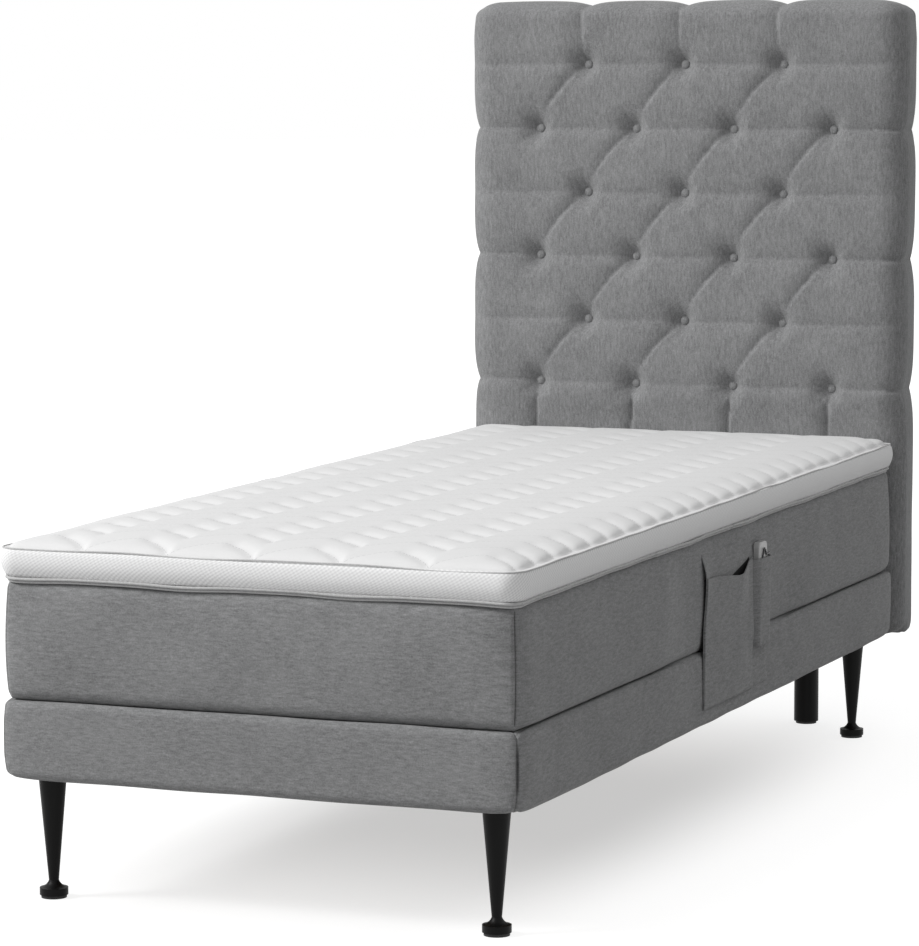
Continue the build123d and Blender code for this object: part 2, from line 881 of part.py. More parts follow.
def headboard_bolt_hole(x):
    """The hole of one bolt that ties the headboard to the base."""
    z = base_bottom + bolt_rise
    start = head_y - cover_thickness - board_thickness - overrun
    return rod_y(bolt_radius + bolt_clearance, x, z, start, core_front() + bolt_bite + bolt_clearance)


def tuft_places():
    """X and Z of the buttons: three in odd rows, four in even rows, half a pitch apart."""
    places = []
    for row in range(tuft_rows):
        count = 4 if row % 2 else 3
        z = tuft_top_row - row * tuft_pitch_z
        places += [((i - (count - 1) / 2) * tuft_pitch_x, z) for i in range(count)]
    return places


def crease(xa, za, xb, zb, width, depth):
    """A V-shaped prism that presses a crease into the front face between two points."""
    run = Vector(xb - xa, 0, zb - za)
    plane = Plane(origin=(xa, headboard_front, za), x_dir=(0, 1, 0), z_dir=run)
    grow = (depth + overrun) / depth
    half = width / 2 * grow
    face = make_face(Polyline((-overrun, -half), (depth, 0), (-overrun, half), close=True))
    return extrude(plane * face, run.length)


def edge_crease(x, z, normal, width, depth):
    """A V-shaped prism along Y that draws in a side or the top of the headboard."""
    grow = (depth + overrun) / depth
    half = width / 2 * grow
    plane = Plane(origin=(x, headboard_front - overrun, z), x_dir=normal, z_dir=(0, 1, 0))
    face = make_face(Polyline((overrun, -half), (-depth, 0), (overrun, half), close=True))
    return extrude(plane * face, headboard_depth - core_back_inset + overrun)


def tuft_creases():
    """Creases of the headboard: both diagonals of the net and pleats out to the edges."""
    rows = [tuft_top_row - row * tuft_pitch_z for row in range(tuft_rows)]
    half = tuft_pitch_x / 2
    edge = headboard_width / 2
    size = (crease_width, crease_depth)
    tools = []
    starts = [(-2 * half, 0, 1), (0, 0, 3), (2 * half, 0, 5), (3 * half, 1, 4), (3 * half, 3, 2)]
    for x, row, steps in starts:
        for side in (-1, 1):
            tools.append(crease(side * x, rows[row], side * (x - steps * half), rows[row + steps], *size))
    for z in rows[1::2]:
        for side in (-1, 1):
            tools.append(crease(side * 3 * half, z, side * edge, z, side_crease_width, side_crease_depth))
            tools.append(edge_crease(side * edge, z, (side, 0, 0), side_crease_width, side_crease_depth))
    for i in (-1, 0, 1):
        x = i * tuft_pitch_x
        tools.append(crease(x, rows[0], x, headboard_top, side_crease_width, side_crease_depth))
        tools.append(edge_crease(x, headboard_top, (0, 0, 1), side_crease_width, side_crease_depth))
    for i in (-3, -1, 1, 3):
        x = i * half
        tools.append(crease(x, headboard_bottom, x, rows[-1], side_crease_width, side_crease_depth))
    return tools


def tuft_dimple(x, z):
    """The dimple that one button draws into the front face."""
    outline = Polyline(
        (0, -overrun),
        (tuft_radius, -overrun),
        (tuft_radius, 0),
        (tuft_floor_radius, tuft_depth),
        (0, tuft_depth),
        close=True,
    )
    shape = revolve(make_face(outline), Axis.Y)
    return Pos(x, headboard_front, z) * shape


def tuft_button(x, z):
    """A covered button: a low dome on the floor of its dimple."""
    dome = (button_radius**2 + button_height**2) / (2 * button_height)
    seat = headboard_front + tuft_depth
    ball = Pos(x, seat + dome - button_height, z) * Sphere(dome)
    disc = rod_y(button_radius, x, z, seat - button_height, seat)
    return ball & disc


def build_headboard():
    """Core, buttoned cushion, buttons, back cloth, legs and tie bolts."""
    half = headboard_width / 2
    front, back = headboard_front, headboard_back
    core_back = back - core_back_inset
    core_top = headboard_top - core_top_inset
    core = block(-core_width / 2, core_width / 2, core_front(), core_back, headboard_bottom, core_top)
    slab = block(-half, half, front, back, headboard_bottom, headboard_top)
    slab = fillet(slab.edges(), headboard_round)
    well = block(
        -core_width / 2, core_width / 2, core_front(), back + overrun, headboard_bottom - overrun, core_top
    )
    cushion = slab - well
    cushion -= tuft_creases()
    cushion -= [tuft_dimple(x, z) for x, z in tuft_places()]
    leg_y = headboard_leg_y()
    legs, bolts = [], []
    for x in (-headboard_leg_x, headboard_leg_x):
        leg = rod_z(headboard_leg_radius, x, leg_y, glide_height, headboard_bottom)
        leg += rod_z(stud_radius, x, leg_y, headboard_bottom, headboard_bottom + stud_length)
        legs.append(leg)
        core -= rod_z(
            stud_radius + stud_clearance,
            x,
            leg_y,
            headboard_bottom - overrun,
            headboard_bottom + stud_length + stud_clearance,
        )
    z = base_bottom + bolt_rise
    board_face = head_y - cover_thickness - board_thickness
    for x in (-bolt_x, bolt_x):
        hole = headboard_bolt_hole(x)
        core -= hole
        cushion -= hole
        bolt = rod_y(bolt_radius, x, z, board_face, core_front() + bolt_bite)
        bolts.append(bolt + rod_y(bolt_head_radius, x, z, board_face - bolt_head_height, board_face))
    cloth = block(
        -core_width / 2,
        core_width / 2,
        core_back,
        core_back + back_cloth_thickness,
        headboard_bottom,
        core_top,
    )
    export("headboard_core", core)
    export("headboard_cushion", cushion)
    export("headboard_buttons", *[tuft_button(x, z) for x, z in tuft_places()])
    export("headboard_back_cloth", cloth)
    export("headboard_legs", *legs)
    export("headboard_bolts", *bolts)


# Pocket and handset


def pocket_face():
    """Outer face of the pocket's back panel, which the pouch and the sleeve are sewn to."""
    return half_width + pocket_gap + pocket_sheet


def pouch_shell(y0, y1, x0, shrink, low, high):
    """A pouch that bulges most at its mouth, drawn in on every side by shrink."""

    def level(z, bulge):
        arc = ThreePointArc((x0, y0 + shrink), (x0 + bulge - shrink, (y0 + y1) / 2), (x0, y1 - shrink))
        return Pos(0, 0, z) * make_face([arc, Line((x0, y1 - shrink), (x0, y0 + shrink))])

    return loft([level(low, pouch_foot_bulge), level(high, pouch_bulge)])


def build_pocket():
    """The back panel with its sewn lip, the wide pouch and the handset sleeve."""
    y0 = thigh_y + pocket_inset
    y1 = y0 + pocket_length
    x0 = half_width + pocket_gap
    face = pocket_face()
    panel = block(x0, face, y0, y1, pocket_bottom, pocket_top)
    lip_low = pocket_top - pocket_lip_height
    seam = mattress_side(lip_low) + soft_gap
    lip0 = section_edge(thigh_y, thigh_bend_foot, thigh_angle, 1, pocket_top) + soft_gap
    lip1 = section_edge(back_y, back_bend_foot, back_angle, -1, pocket_top) - soft_gap
    panel += block(seam, face, lip0, lip1, lip_low, pocket_top)
    export("pocket_back_panel", panel)

    pouch0 = y0 + pouch_inset
    pouch1 = pouch0 + pouch_length
    outer = pouch_shell(pouch0, pouch1, face, 0, pocket_bottom, pouch_mouth)
    inner = pouch_shell(pouch0, pouch1, face, pocket_wall, pocket_bottom, pouch_mouth)
    floor = block(face, face + pouch_bulge, pouch0, pouch1, pocket_bottom, pocket_bottom + pocket_wall)
    export("pocket_pouch", outer - (inner - floor))

    far = pouch1 + sleeve_length
    outline = [
        (face, pouch1 + soft_gap),
        (face + sleeve_depth - sleeve_corner, pouch1 + soft_gap),
        (face + sleeve_depth, pouch1 + sleeve_corner),
        (face + sleeve_depth, far - sleeve_taper),
        (face + pocket_wall, far),
        (face, far),
    ]
    wall = pocket_wall
    hollow = [
        (face, pouch1 + soft_gap + wall),
        (face + sleeve_depth - sleeve_corner, pouch1 + soft_gap + wall),
        (face + sleeve_depth - wall, pouch1 + sleeve_corner),
        (face + sleeve_depth - wall, far - sleeve_taper),
        (face, far - sleeve_seam),
    ]
    sleeve = plan_prism(outline, sleeve_bottom, sleeve_mouth)
    sleeve -= plan_prism(hollow, sleeve_bottom + wall, sleeve_mouth + overrun)
    export("handset_sleeve", sleeve)


def build_handset():
    """The handset in its sleeve: a case with four keys on the mattress side and a wire hook."""
    x0 = pocket_face() + handset_panel_gap
    x1 = x0 + handset_thickness
    y0 = thigh_y + pocket_inset + pouch_inset + pouch_length + handset_inset
    y1 = y0 + handset_width
    z0 = sleeve_bottom + pocket_wall + handset_floor_gap
    z1 = z0 + handset_height
    case = block(x0, x1, y0, y1, z0, z1)
    case = fillet(case.edges().filter_by(Axis.X), handset_round)
    case = fillet(case.faces().sort_by(Axis.X)[-1].edges(), handset_edge_round)

    number = 0
    for row in key_row_shares:
        for column in key_column_shares:
            number += 1
            y = (y0 + y1) / 2 + column * handset_width
            z = (z0 + z1) / 2 + row * handset_height
            key = block(
                x0 - key_proud,
                x0 - key_proud + key_thickness,
                y - key_width / 2,
                y + key_width / 2,
                z - key_height / 2,
                z + key_height / 2,
            )
            key = fillet(key.edges().filter_by(Axis.X), key_thickness / 2)
            export(f"handset_key_{number}", key)
            case -= block(
                x0 - overrun,
                x0 - key_proud + key_thickness + key_travel + key_spare,
                y - key_width / 2 - key_clearance,
                y + key_width / 2 + key_clearance,
                z - key_height / 2 - key_clearance,
                z + key_height / 2 + key_clearance,
            )
    export("handset_case", case)

    x = x1 + hook_wire_radius + hook_gap
    start = y0 + hook_inset
    mouth = sleeve_mouth
    points = [
        (x, start, mouth - hook_leg),
        (x, start, mouth),
        (x, start + hook_arch_share * hook_width, mouth + hook_arch),
        (x, start + hook_width, mouth + hook_valley),
        (x, start + hook_width + hook_tip_run, mouth + hook_tip),
    ]
    path = FilletPolyline(*points, radius=hook_bend_radius)
    section = Plane(origin=points[0], z_dir=(0, 0, 1)) * Circle(hook_wire_radius)
    export("handset_hook", sweep(section, path))


os.makedirs("parts", exist_ok=True)
build_base()
build_legs()
build_rails()
build_brackets()
build_decks()
build_drives()
build_control_box()
build_pads()
build_headboard()
build_pocket()
build_handset()
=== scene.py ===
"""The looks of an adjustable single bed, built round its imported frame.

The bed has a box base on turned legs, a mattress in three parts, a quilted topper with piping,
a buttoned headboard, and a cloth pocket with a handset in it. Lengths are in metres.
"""

from __future__ import annotations

import json
import logging
import math
from collections.abc import Sequence
from dataclasses import dataclass
from enum import Enum

import bpy
import numpy as np
from mathutils import Matrix, Vector

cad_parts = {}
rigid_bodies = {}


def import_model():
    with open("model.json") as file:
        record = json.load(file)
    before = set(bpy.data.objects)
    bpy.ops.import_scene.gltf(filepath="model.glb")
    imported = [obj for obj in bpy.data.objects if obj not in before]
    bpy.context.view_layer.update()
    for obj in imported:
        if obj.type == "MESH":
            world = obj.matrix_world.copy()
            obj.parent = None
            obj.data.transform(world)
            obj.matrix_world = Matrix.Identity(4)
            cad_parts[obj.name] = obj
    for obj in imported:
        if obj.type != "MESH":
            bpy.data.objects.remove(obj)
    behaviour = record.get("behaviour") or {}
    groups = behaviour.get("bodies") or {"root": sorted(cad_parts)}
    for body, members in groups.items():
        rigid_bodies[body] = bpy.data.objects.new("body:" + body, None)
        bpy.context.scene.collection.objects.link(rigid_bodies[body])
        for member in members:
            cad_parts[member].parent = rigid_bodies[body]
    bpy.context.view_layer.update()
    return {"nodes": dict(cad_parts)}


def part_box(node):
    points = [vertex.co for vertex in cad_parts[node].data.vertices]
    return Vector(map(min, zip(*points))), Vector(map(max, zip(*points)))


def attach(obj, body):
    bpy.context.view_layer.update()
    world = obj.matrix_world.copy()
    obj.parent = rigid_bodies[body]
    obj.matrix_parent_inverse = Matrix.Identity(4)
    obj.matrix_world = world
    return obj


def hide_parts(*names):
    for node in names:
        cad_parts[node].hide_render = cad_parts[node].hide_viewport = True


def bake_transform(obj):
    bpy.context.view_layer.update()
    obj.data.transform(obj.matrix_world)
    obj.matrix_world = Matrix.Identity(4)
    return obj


log = logging.getLogger("bed")

REST_PLACE = "rest_place"
# The point value that the grey cloth's painted shade reads: the cloth is painted towards black where it is
# near 0 or below.
SHADE_DISTANCE = "hem"
BAND = "band"
TINY = 1e-6
DIGITS = 7
FAR = 0.1
ON_SURFACE = 0.999
CORD_SIDES = 10
WAVES = 7
COLOUR, NUMBER = "NodeSocketColor", "NodeSocketFloat"
Array = np.ndarray
Socket = bpy.types.NodeSocket
Tree = bpy.types.NodeTree
Node = bpy.types.Node
Pair = tuple[float, float]
Triple = tuple[float, float, float]
Row = tuple[float, ...]
Colour = Triple


class ThreadRun(Enum):
    """Which way the thick threads of a cloth run on an upright face."""

    LEVEL = "level"
    UPRIGHT = "upright"


class Part(Enum):
    """The three parts that the mattress and topper are made in."""

    FOOT = "foot"
    MIDDLE = "middle"
    HEAD = "head"


COVERED = {Part.FOOT: ("calf",), Part.MIDDLE: ("thigh", "seat"), Part.HEAD: ("back", "bends")}


class Side(Enum):
    """The four sides of a box, as axis and sign."""

    LEFT = (0, -1)
    RIGHT = (0, 1)
    FOOT = (1, -1)
    HEAD = (1, 1)


PANELS = {Side.FOOT: "foot", Side.HEAD: "head_end", Side.LEFT: "left_side", Side.RIGHT: "right_side"}


@dataclass
class Surface:
    """A mesh in the making.

    Args:
        points: one row of three coordinates for each point.
        quads: one row of four point numbers for each face.
    """

    points: Array
    quads: Array

    @classmethod
    def grid(cls, points: Array, wrap_columns: bool = False) -> Surface:
        """Joins a grid of points with quads. Its normal is the row direction crossed with the column one.

        Args:
            points: rows by columns by three.
            wrap_columns: whether the last column joins the first.

        Returns:
            The surface over the grid.
        """
        index = np.arange(points.shape[0] * points.shape[1]).reshape(points.shape[:2])
        if wrap_columns:
            index = np.hstack([index, index[:, :1]])
        corners = [index[:-1, :-1], index[1:, :-1], index[1:, 1:], index[:-1, 1:]]
        return cls(points.reshape(-1, 3), np.stack(corners, axis=-1).reshape(-1, 4))

    @classmethod
    def together(cls, *parts: Surface) -> Surface:
        """One surface of several.

        Args:
            parts: the surfaces, which keep their points apart.

        Returns:
            All points and faces in order.
        """
        starts = np.cumsum([0] + [len(p.points) for p in parts[:-1]])
        quads = [p.quads + start for p, start in zip(parts, starts)]
        return cls(np.concatenate([p.points for p in parts]), np.concatenate(quads))

    def turned(self) -> Surface:
        """The same surface, facing the other way."""
        return Surface(self.points, self.quads[:, ::-1])

    def welded(self) -> Surface:
        """The surface with points that share a place merged."""
        places = np.round(self.points, DIGITS)
        _, first, every = np.unique(places, axis=0, return_index=True, return_inverse=True)
        return Surface(self.points[first], every.ravel()[self.quads])

    def mesh(self, name: str) -> bpy.types.Mesh:
        """Writes the points and faces into a new mesh, a quad with two equal corners as a triangle.

        Args:
            name: the mesh's name.

        Returns:
            The smooth-shaded mesh.
        """
        same = self.quads == np.roll(self.quads, -1, axis=1)
        doubled = same.sum(axis=1)
        full = self.quads[doubled == 0]
        thin = self.quads[doubled == 1]
        triangles = thin[~same[doubled == 1]].reshape(-1, 3)
        loops = np.concatenate([full.ravel(), triangles.ravel()]).astype(np.int32)
        starts = np.concatenate([np.arange(len(full)) * 4, len(full) * 4 + np.arange(len(triangles)) * 3])
        mesh = bpy.data.meshes.new(name)
        mesh.vertices.add(len(self.points))
        mesh.vertices.foreach_set("co", self.points.astype(np.float32).ravel())
        mesh.loops.add(len(loops))
        mesh.loops.foreach_set("vertex_index", loops)
        mesh.polygons.add(len(starts))
        mesh.polygons.foreach_set("loop_start", starts.astype(np.int32))
        mesh.polygons.foreach_set("use_smooth", np.ones(len(starts), bool))
        mesh.update(calc_edges=True)
        mesh.validate()
        return mesh


def box_surface(xs: Array, ys: Array, zs: Array) -> Surface:
    """The six faces of a box, each a grid over two of the three sets of lines, merged at the edges.

    Args:
        xs: places of the lines along X, lowest first, with the box's own two ends.
        ys: the same along Y.
        zs: the same along Z.

    Returns:
        The closed box, facing outwards.
    """
    lines = (xs, ys, zs)
    parts = []
    for axis in range(3):
        first, second = np.meshgrid(lines[(axis + 1) % 3], lines[(axis + 2) % 3], indexing="ij")
        for end in (0, -1):
            points = np.empty(first.shape + (3,))
            points[..., axis] = lines[axis][end]
            points[..., (axis + 1) % 3] = first
            points[..., (axis + 2) % 3] = second
            part = Surface.grid(points)
            parts.append(part if end else part.turned())
    return Surface.together(*parts).welded()


def open_box(xs: Array, ys: Array, zs: Array, low: Array, high: Array) -> Surface:
    """A box whose face at the far end of Y is only a few rings: its rim, two rings that are the rim held
    inside a smaller rectangle, and the middle.

    Args:
        xs: places of the lines along X.
        ys: the same along Y.
        zs: the same along Z.
        low: the smaller rectangle's low corner, of which X and Z are read.
        high: its high corner.

    Returns:
        The closed box, facing outwards.
    """
    box = box_surface(xs, ys, zs)
    far = np.isclose(box.points[:, 1], ys[-1])
    box.quads = box.quads[~far[box.quads].all(axis=1)]
    rim = np.unique(box.quads[far[box.quads]])
    ring = box.points[rim]
    middle = np.array([(xs[0] + xs[-1]) / 2, ys[-1], (zs[0] + zs[-1]) / 2])
    ring = ring[np.argsort(np.arctan2(ring[:, 2] - middle[2], ring[:, 0] - middle[0]))]
    rings = [ring]
    for inset in (0.0, 0.012):
        inner = ring.copy()
        inner[:, 0] = np.clip(inner[:, 0], low[0] + inset, high[0] - inset)
        inner[:, 2] = np.clip(inner[:, 2], low[2] + inset, high[2] - inset)
        rings.append(inner)
    rings.append(np.repeat(middle[None], len(ring), axis=0))
    cap = Surface.grid(np.stack(rings), wrap_columns=True).turned()
    used, quads = np.unique(box.quads, return_inverse=True)
    front = Surface(box.points[used], quads.reshape(-1, 4))
    return Surface.together(front, cap).welded()


def edge_spaced(
    low: float, high: float, step: float, radius: float = 0.0, extra: Sequence[float] = ()
) -> Array:
    """Lines a step apart between two ends, and closer over a round edge: there they follow the tangent
    of equal turns, so that the rounded surface has even facets.

    Args:
        low: first line.
        high: last line.
        step: widest spacing.
        radius: radius of the edges at both ends, or 0 for plain ends.
        extra: more places that get a line.

    Returns:
        The places, lowest first.
    """
    turn = np.tan(np.linspace(0, math.pi / 4, 6)) * radius
    count = max(2, math.ceil((high - low - 2 * radius) / step) + 1)
    inner = np.linspace(low + radius, high - radius, count)
    places = np.concatenate([low + radius - turn, inner, high - radius + turn, np.array(extra, float)])
    places = places[(places >= low - TINY) & (places <= high + TINY)]
    return np.unique(np.round(places, DIGITS))


def from_edges(points: Array, low: Array, high: Array) -> Array:
    """How far each point is from the nearer side of a box, one row for each axis."""
    return np.minimum(points - low, high - points).T


def rounded(raw: Array, low: Array, high: Array, radius: Array) -> tuple[Array, ...]:
    """Turns a box's points into one with round edges. The nearest point of the inner box, which is smaller
    by the radius, is the centre, and each point goes out from it to the ellipsoid of that radius.

    Args:
        raw: points on or in the box.
        low: the box's low corner.
        high: the box's high corner.
        radius: the edge's radius along each axis.

    Returns:
        The new places, the outward directions, and how far out each point is, from 0 to 1.
    """
    core = np.clip(raw, low + radius, high - radius)
    away = (raw - core) / radius
    share = np.abs(away).max(axis=-1, keepdims=True)
    length = np.linalg.norm(away, axis=-1, keepdims=True)
    direction = away / np.maximum(length, TINY)
    outward = direction / radius
    outward = outward / np.maximum(np.linalg.norm(outward, axis=-1, keepdims=True), TINY)
    return core + radius * direction * share, outward, share[..., 0]


def shell_between(outer: Array, inner: Array) -> Surface:
    """A closed shell: two grids of the same size, joined all round their borders.

    Args:
        outer: rows by columns by three, facing outwards.
        inner: the same grid on the inside.

    Returns:
        The closed surface.
    """
    faces = [Surface.grid(outer), Surface.grid(inner).turned()]
    rim = [(np.s_[0], False), (np.s_[-1], True), (np.s_[:, 0], True), (np.s_[:, -1], False)]
    for place, turn in rim:
        strip = Surface.grid(np.stack([outer[place], inner[place]], axis=0))
        faces.append(strip if turn else strip.turned())
    return Surface.together(*faces).welded()


def tube(path: Array, outward: Array, up: Array, radius: float) -> Surface:
    """A round cord along a path: each ring is the path's point plus the radius times the cosine outward
    and the sine upward. Its ends close on their middle points.

    Args:
        path: the centreline, one row for each point.
        outward: unit vector across the path at each point.
        up: unit vector square to it and to the path.
        radius: the cord's radius.

    Returns:
        The closed tube.
    """
    angle = np.linspace(0, 2 * math.pi, CORD_SIDES, endpoint=False)
    ring = outward[:, None] * np.cos(angle)[None, :, None] + up[:, None] * np.sin(angle)[None, :, None]
    rings = path[:, None] + radius * ring
    caps = [np.repeat(path[end][None, None], CORD_SIDES, axis=1) for end in (0, -1)]
    grid = np.concatenate([caps[0], rings, caps[1]], axis=0)
    return Surface.grid(grid, wrap_columns=True).welded()


@dataclass(frozen=True)
class Uneven:
    """Slow unevenness of a cloth.

    Args:
        height: about how high its waves are.
        seed: chooses their directions and starts.
        length: their mean length.
    """

    height: float
    seed: int
    length: float

    def at(self, points: Array) -> Array:
        """The height at some points: a mean of sines in fixed random directions, times the height.

        Args:
            points: where it is wanted.

        Returns:
            One height for each point.
        """
        draw = np.random.default_rng(self.seed)
        direction = draw.normal(size=(WAVES, 3))
        direction /= np.linalg.norm(direction, axis=1, keepdims=True)
        rate = 2 * math.pi / (self.length * draw.uniform(0.6, 1.6, size=(WAVES, 1)))
        start = draw.uniform(0, 2 * math.pi, size=WAVES)
        waves = np.sin(points @ (direction * rate).T + start)
        return self.height * (waves.sum(axis=-1) / math.sqrt(WAVES))


def smooth_step(low: float, high: float, value: Array) -> Array:
    """Rises from 0 at low to 1 at high with level ends."""
    share = np.clip((value - low) / (high - low), 0, 1)
    return share * share * (3 - 2 * share)


def swelling(level: Array, power: float) -> Array:
    """A pad's swell between two edges: four times level times its rest, to a power."""
    return np.clip(4 * level * (1 - level), 0, 1) ** power


def side_extra(y: Array, most: float | Array, held: float | Array) -> Array:
    """How much the side with the pocket stands out along the bed: the most towards both ends, and held
    in round the pocket, with a smooth way between."""
    return most + (held - most) * smooth_step(0.44, 0.22, np.abs(y + 0.024))


def seamless(surface: Surface) -> dict[str, Array]:
    """Point values of a surface that gets no painted shade from seams or hollows."""
    return {SHADE_DISTANCE: np.full(len(surface.points), FAR)}


def into_scene(name: str, data: bpy.types.ID) -> bpy.types.Object:
    """A new object in the scene that shows a mesh, a camera or a lamp."""
    made = bpy.data.objects.new(name, data)
    bpy.context.scene.collection.objects.link(made)
    return made


def make_piece(
    name: str, surface: Surface, material: bpy.types.Material, values: dict[str, Array] | None = None,
    sharp: Array | None = None,
) -> bpy.types.Object:
    """Puts a surface into the scene as an object at the origin.

    Args:
        name: the piece's name.
        surface: its points and faces, in place.
        material: its finish.
        values: numbers or vectors that its points carry, by attribute name.
        sharp: marks the points between which an edge stays sharp.

    Returns:
        The new object.
    """
    mesh = surface.mesh(name)
    mesh.materials.append(material)
    stored = {REST_PLACE: surface.points, **(values or {})}
    for key, value in stored.items():
        vector = value.ndim == 2
        made = mesh.attributes.new(key, "FLOAT_VECTOR" if vector else "FLOAT", "POINT")
        made.data.foreach_set("vector" if vector else "value", value.astype(np.float32).ravel())
    if sharp is not None:
        ends = np.empty(len(mesh.edges) * 2, np.int32)
        mesh.edges.foreach_get("vertices", ends)
        both = sharp[ends.reshape(-1, 2)].all(axis=1)
        made = mesh.attributes.new("sharp_edge", "BOOLEAN", "EDGE")
        made.data.foreach_set("value", both)
    piece = into_scene(name, mesh)
    log.info("piece %s: %d points", name, len(surface.points))
    return piece


def stand_for(piece: bpy.types.Object, slot: str, *nodes: str) -> None:
    """Has a piece replace CAD nodes, on the bed's fixed body."""
    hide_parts(*nodes)
    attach(piece, "root")


class NodeDesk:
    """Lays out the nodes of one tree. A value is a number, a tuple or another node's output socket."""

    def __init__(self, tree: Tree) -> None:
        """Takes the tree to work on."""
        self.tree = tree

    def put(self, socket: Socket, value: object) -> None:
        """Links a value to an input socket, or sets it there."""
        if isinstance(value, Socket):
            self.tree.links.new(value, socket)
        elif socket.type == "RGBA" and len(value) == 3:
            socket.default_value = (*value, 1.0)
        else:
            socket.default_value = value

    def add(self, kind: str, inputs: dict | None = None, **settings: object) -> Node:
        """Adds a node.

        Args:
            kind: the node's Blender type.
            inputs: values for its inputs, by name or number.
            settings: its own properties.

        Returns:
            The node.
        """
        node = self.tree.nodes.new(kind)
        for key, value in settings.items():
            setattr(node, key, value)
        for key, value in (inputs or {}).items():
            self.put(node.inputs[key], value)
        return node

    def math(self, kind: str, *values: object, clamp: bool = False) -> Socket:
        """A Math node of that kind over one to three values."""
        node = self.add("ShaderNodeMath", dict(enumerate(values)), operation=kind, use_clamp=clamp)
        return node.outputs[0]

    def vector(self, kind: str, *values: object) -> Socket:
        """A Vector Math node of that kind."""
        node = self.add("ShaderNodeVectorMath", dict(enumerate(values)), operation=kind)
        return node.outputs[0]

    def split(self, vector: object) -> tuple[Socket, ...]:
        """The three numbers of a vector."""
        return tuple(self.add("ShaderNodeSeparateXYZ", {0: vector}).outputs)

    def noise(self, vector: object, scale: float, detail: float = 2.0, rough: float = 0.5) -> Socket:
        """A noise value from 0 to 1."""
        inputs = {"Vector": vector, "Scale": scale, "Detail": detail, "Roughness": rough}
        return self.add("ShaderNodeTexNoise", inputs).outputs[0]

    def spread(
        self, value: object, low: object, high: object, to_low: object = 0.0, to_high: object = 1.0
    ) -> Socket:
        """A value moved from one range to another and held there."""
        inputs = {0: value, 1: low, 2: high, 3: to_low, 4: to_high}
        return self.add("ShaderNodeMapRange", inputs, clamp=True).outputs[0]

    def ease(self, value: object, low: float, high: float, to_low: float, to_high: float) -> Socket:
        """Like spread, with level ends."""
        made = self.spread(value, low, high, to_low, to_high)
        made.node.interpolation_type = "SMOOTHSTEP"
        return made

    def mix(self, share: object, first: object, second: object) -> Socket:
        """A colour between two, at that share of the second."""
        node = self.add("ShaderNodeMix", {0: share}, data_type="RGBA")
        self.put(node.inputs[6], first)
        self.put(node.inputs[7], second)
        return node.outputs[2]


class GroupDesk(NodeDesk):
    """A desk on a new shader node group, with its input sockets by name."""

    def __init__(self, name: str, inputs: dict[str, object], **outputs: str) -> None:
        """Starts the group.

        Args:
            name: the group's name.
            inputs: the default of each input, whose form gives the socket's type.
            outputs: the socket type of each output.
        """
        super().__init__(bpy.data.node_groups.new(name, "ShaderNodeTree"))
        kinds = {1: "NodeSocketFloat", 3: "NodeSocketVector", 4: "NodeSocketColor"}
        for key, value in inputs.items():
            length = len(value) if isinstance(value, tuple) else 1
            made = self.tree.interface.new_socket(key, in_out="INPUT", socket_type=kinds[length])
            made.default_value = value
        for key, kind in outputs.items():
            self.tree.interface.new_socket(key, in_out="OUTPUT", socket_type=kind)
        entry = self.add("NodeGroupInput")
        self.inputs = {key: entry.outputs[key] for key in inputs}

    def done(self, **outputs: object) -> Tree:
        """Feeds the group's outputs and gives its tree."""
        self.add("NodeGroupOutput", outputs)
        return self.tree


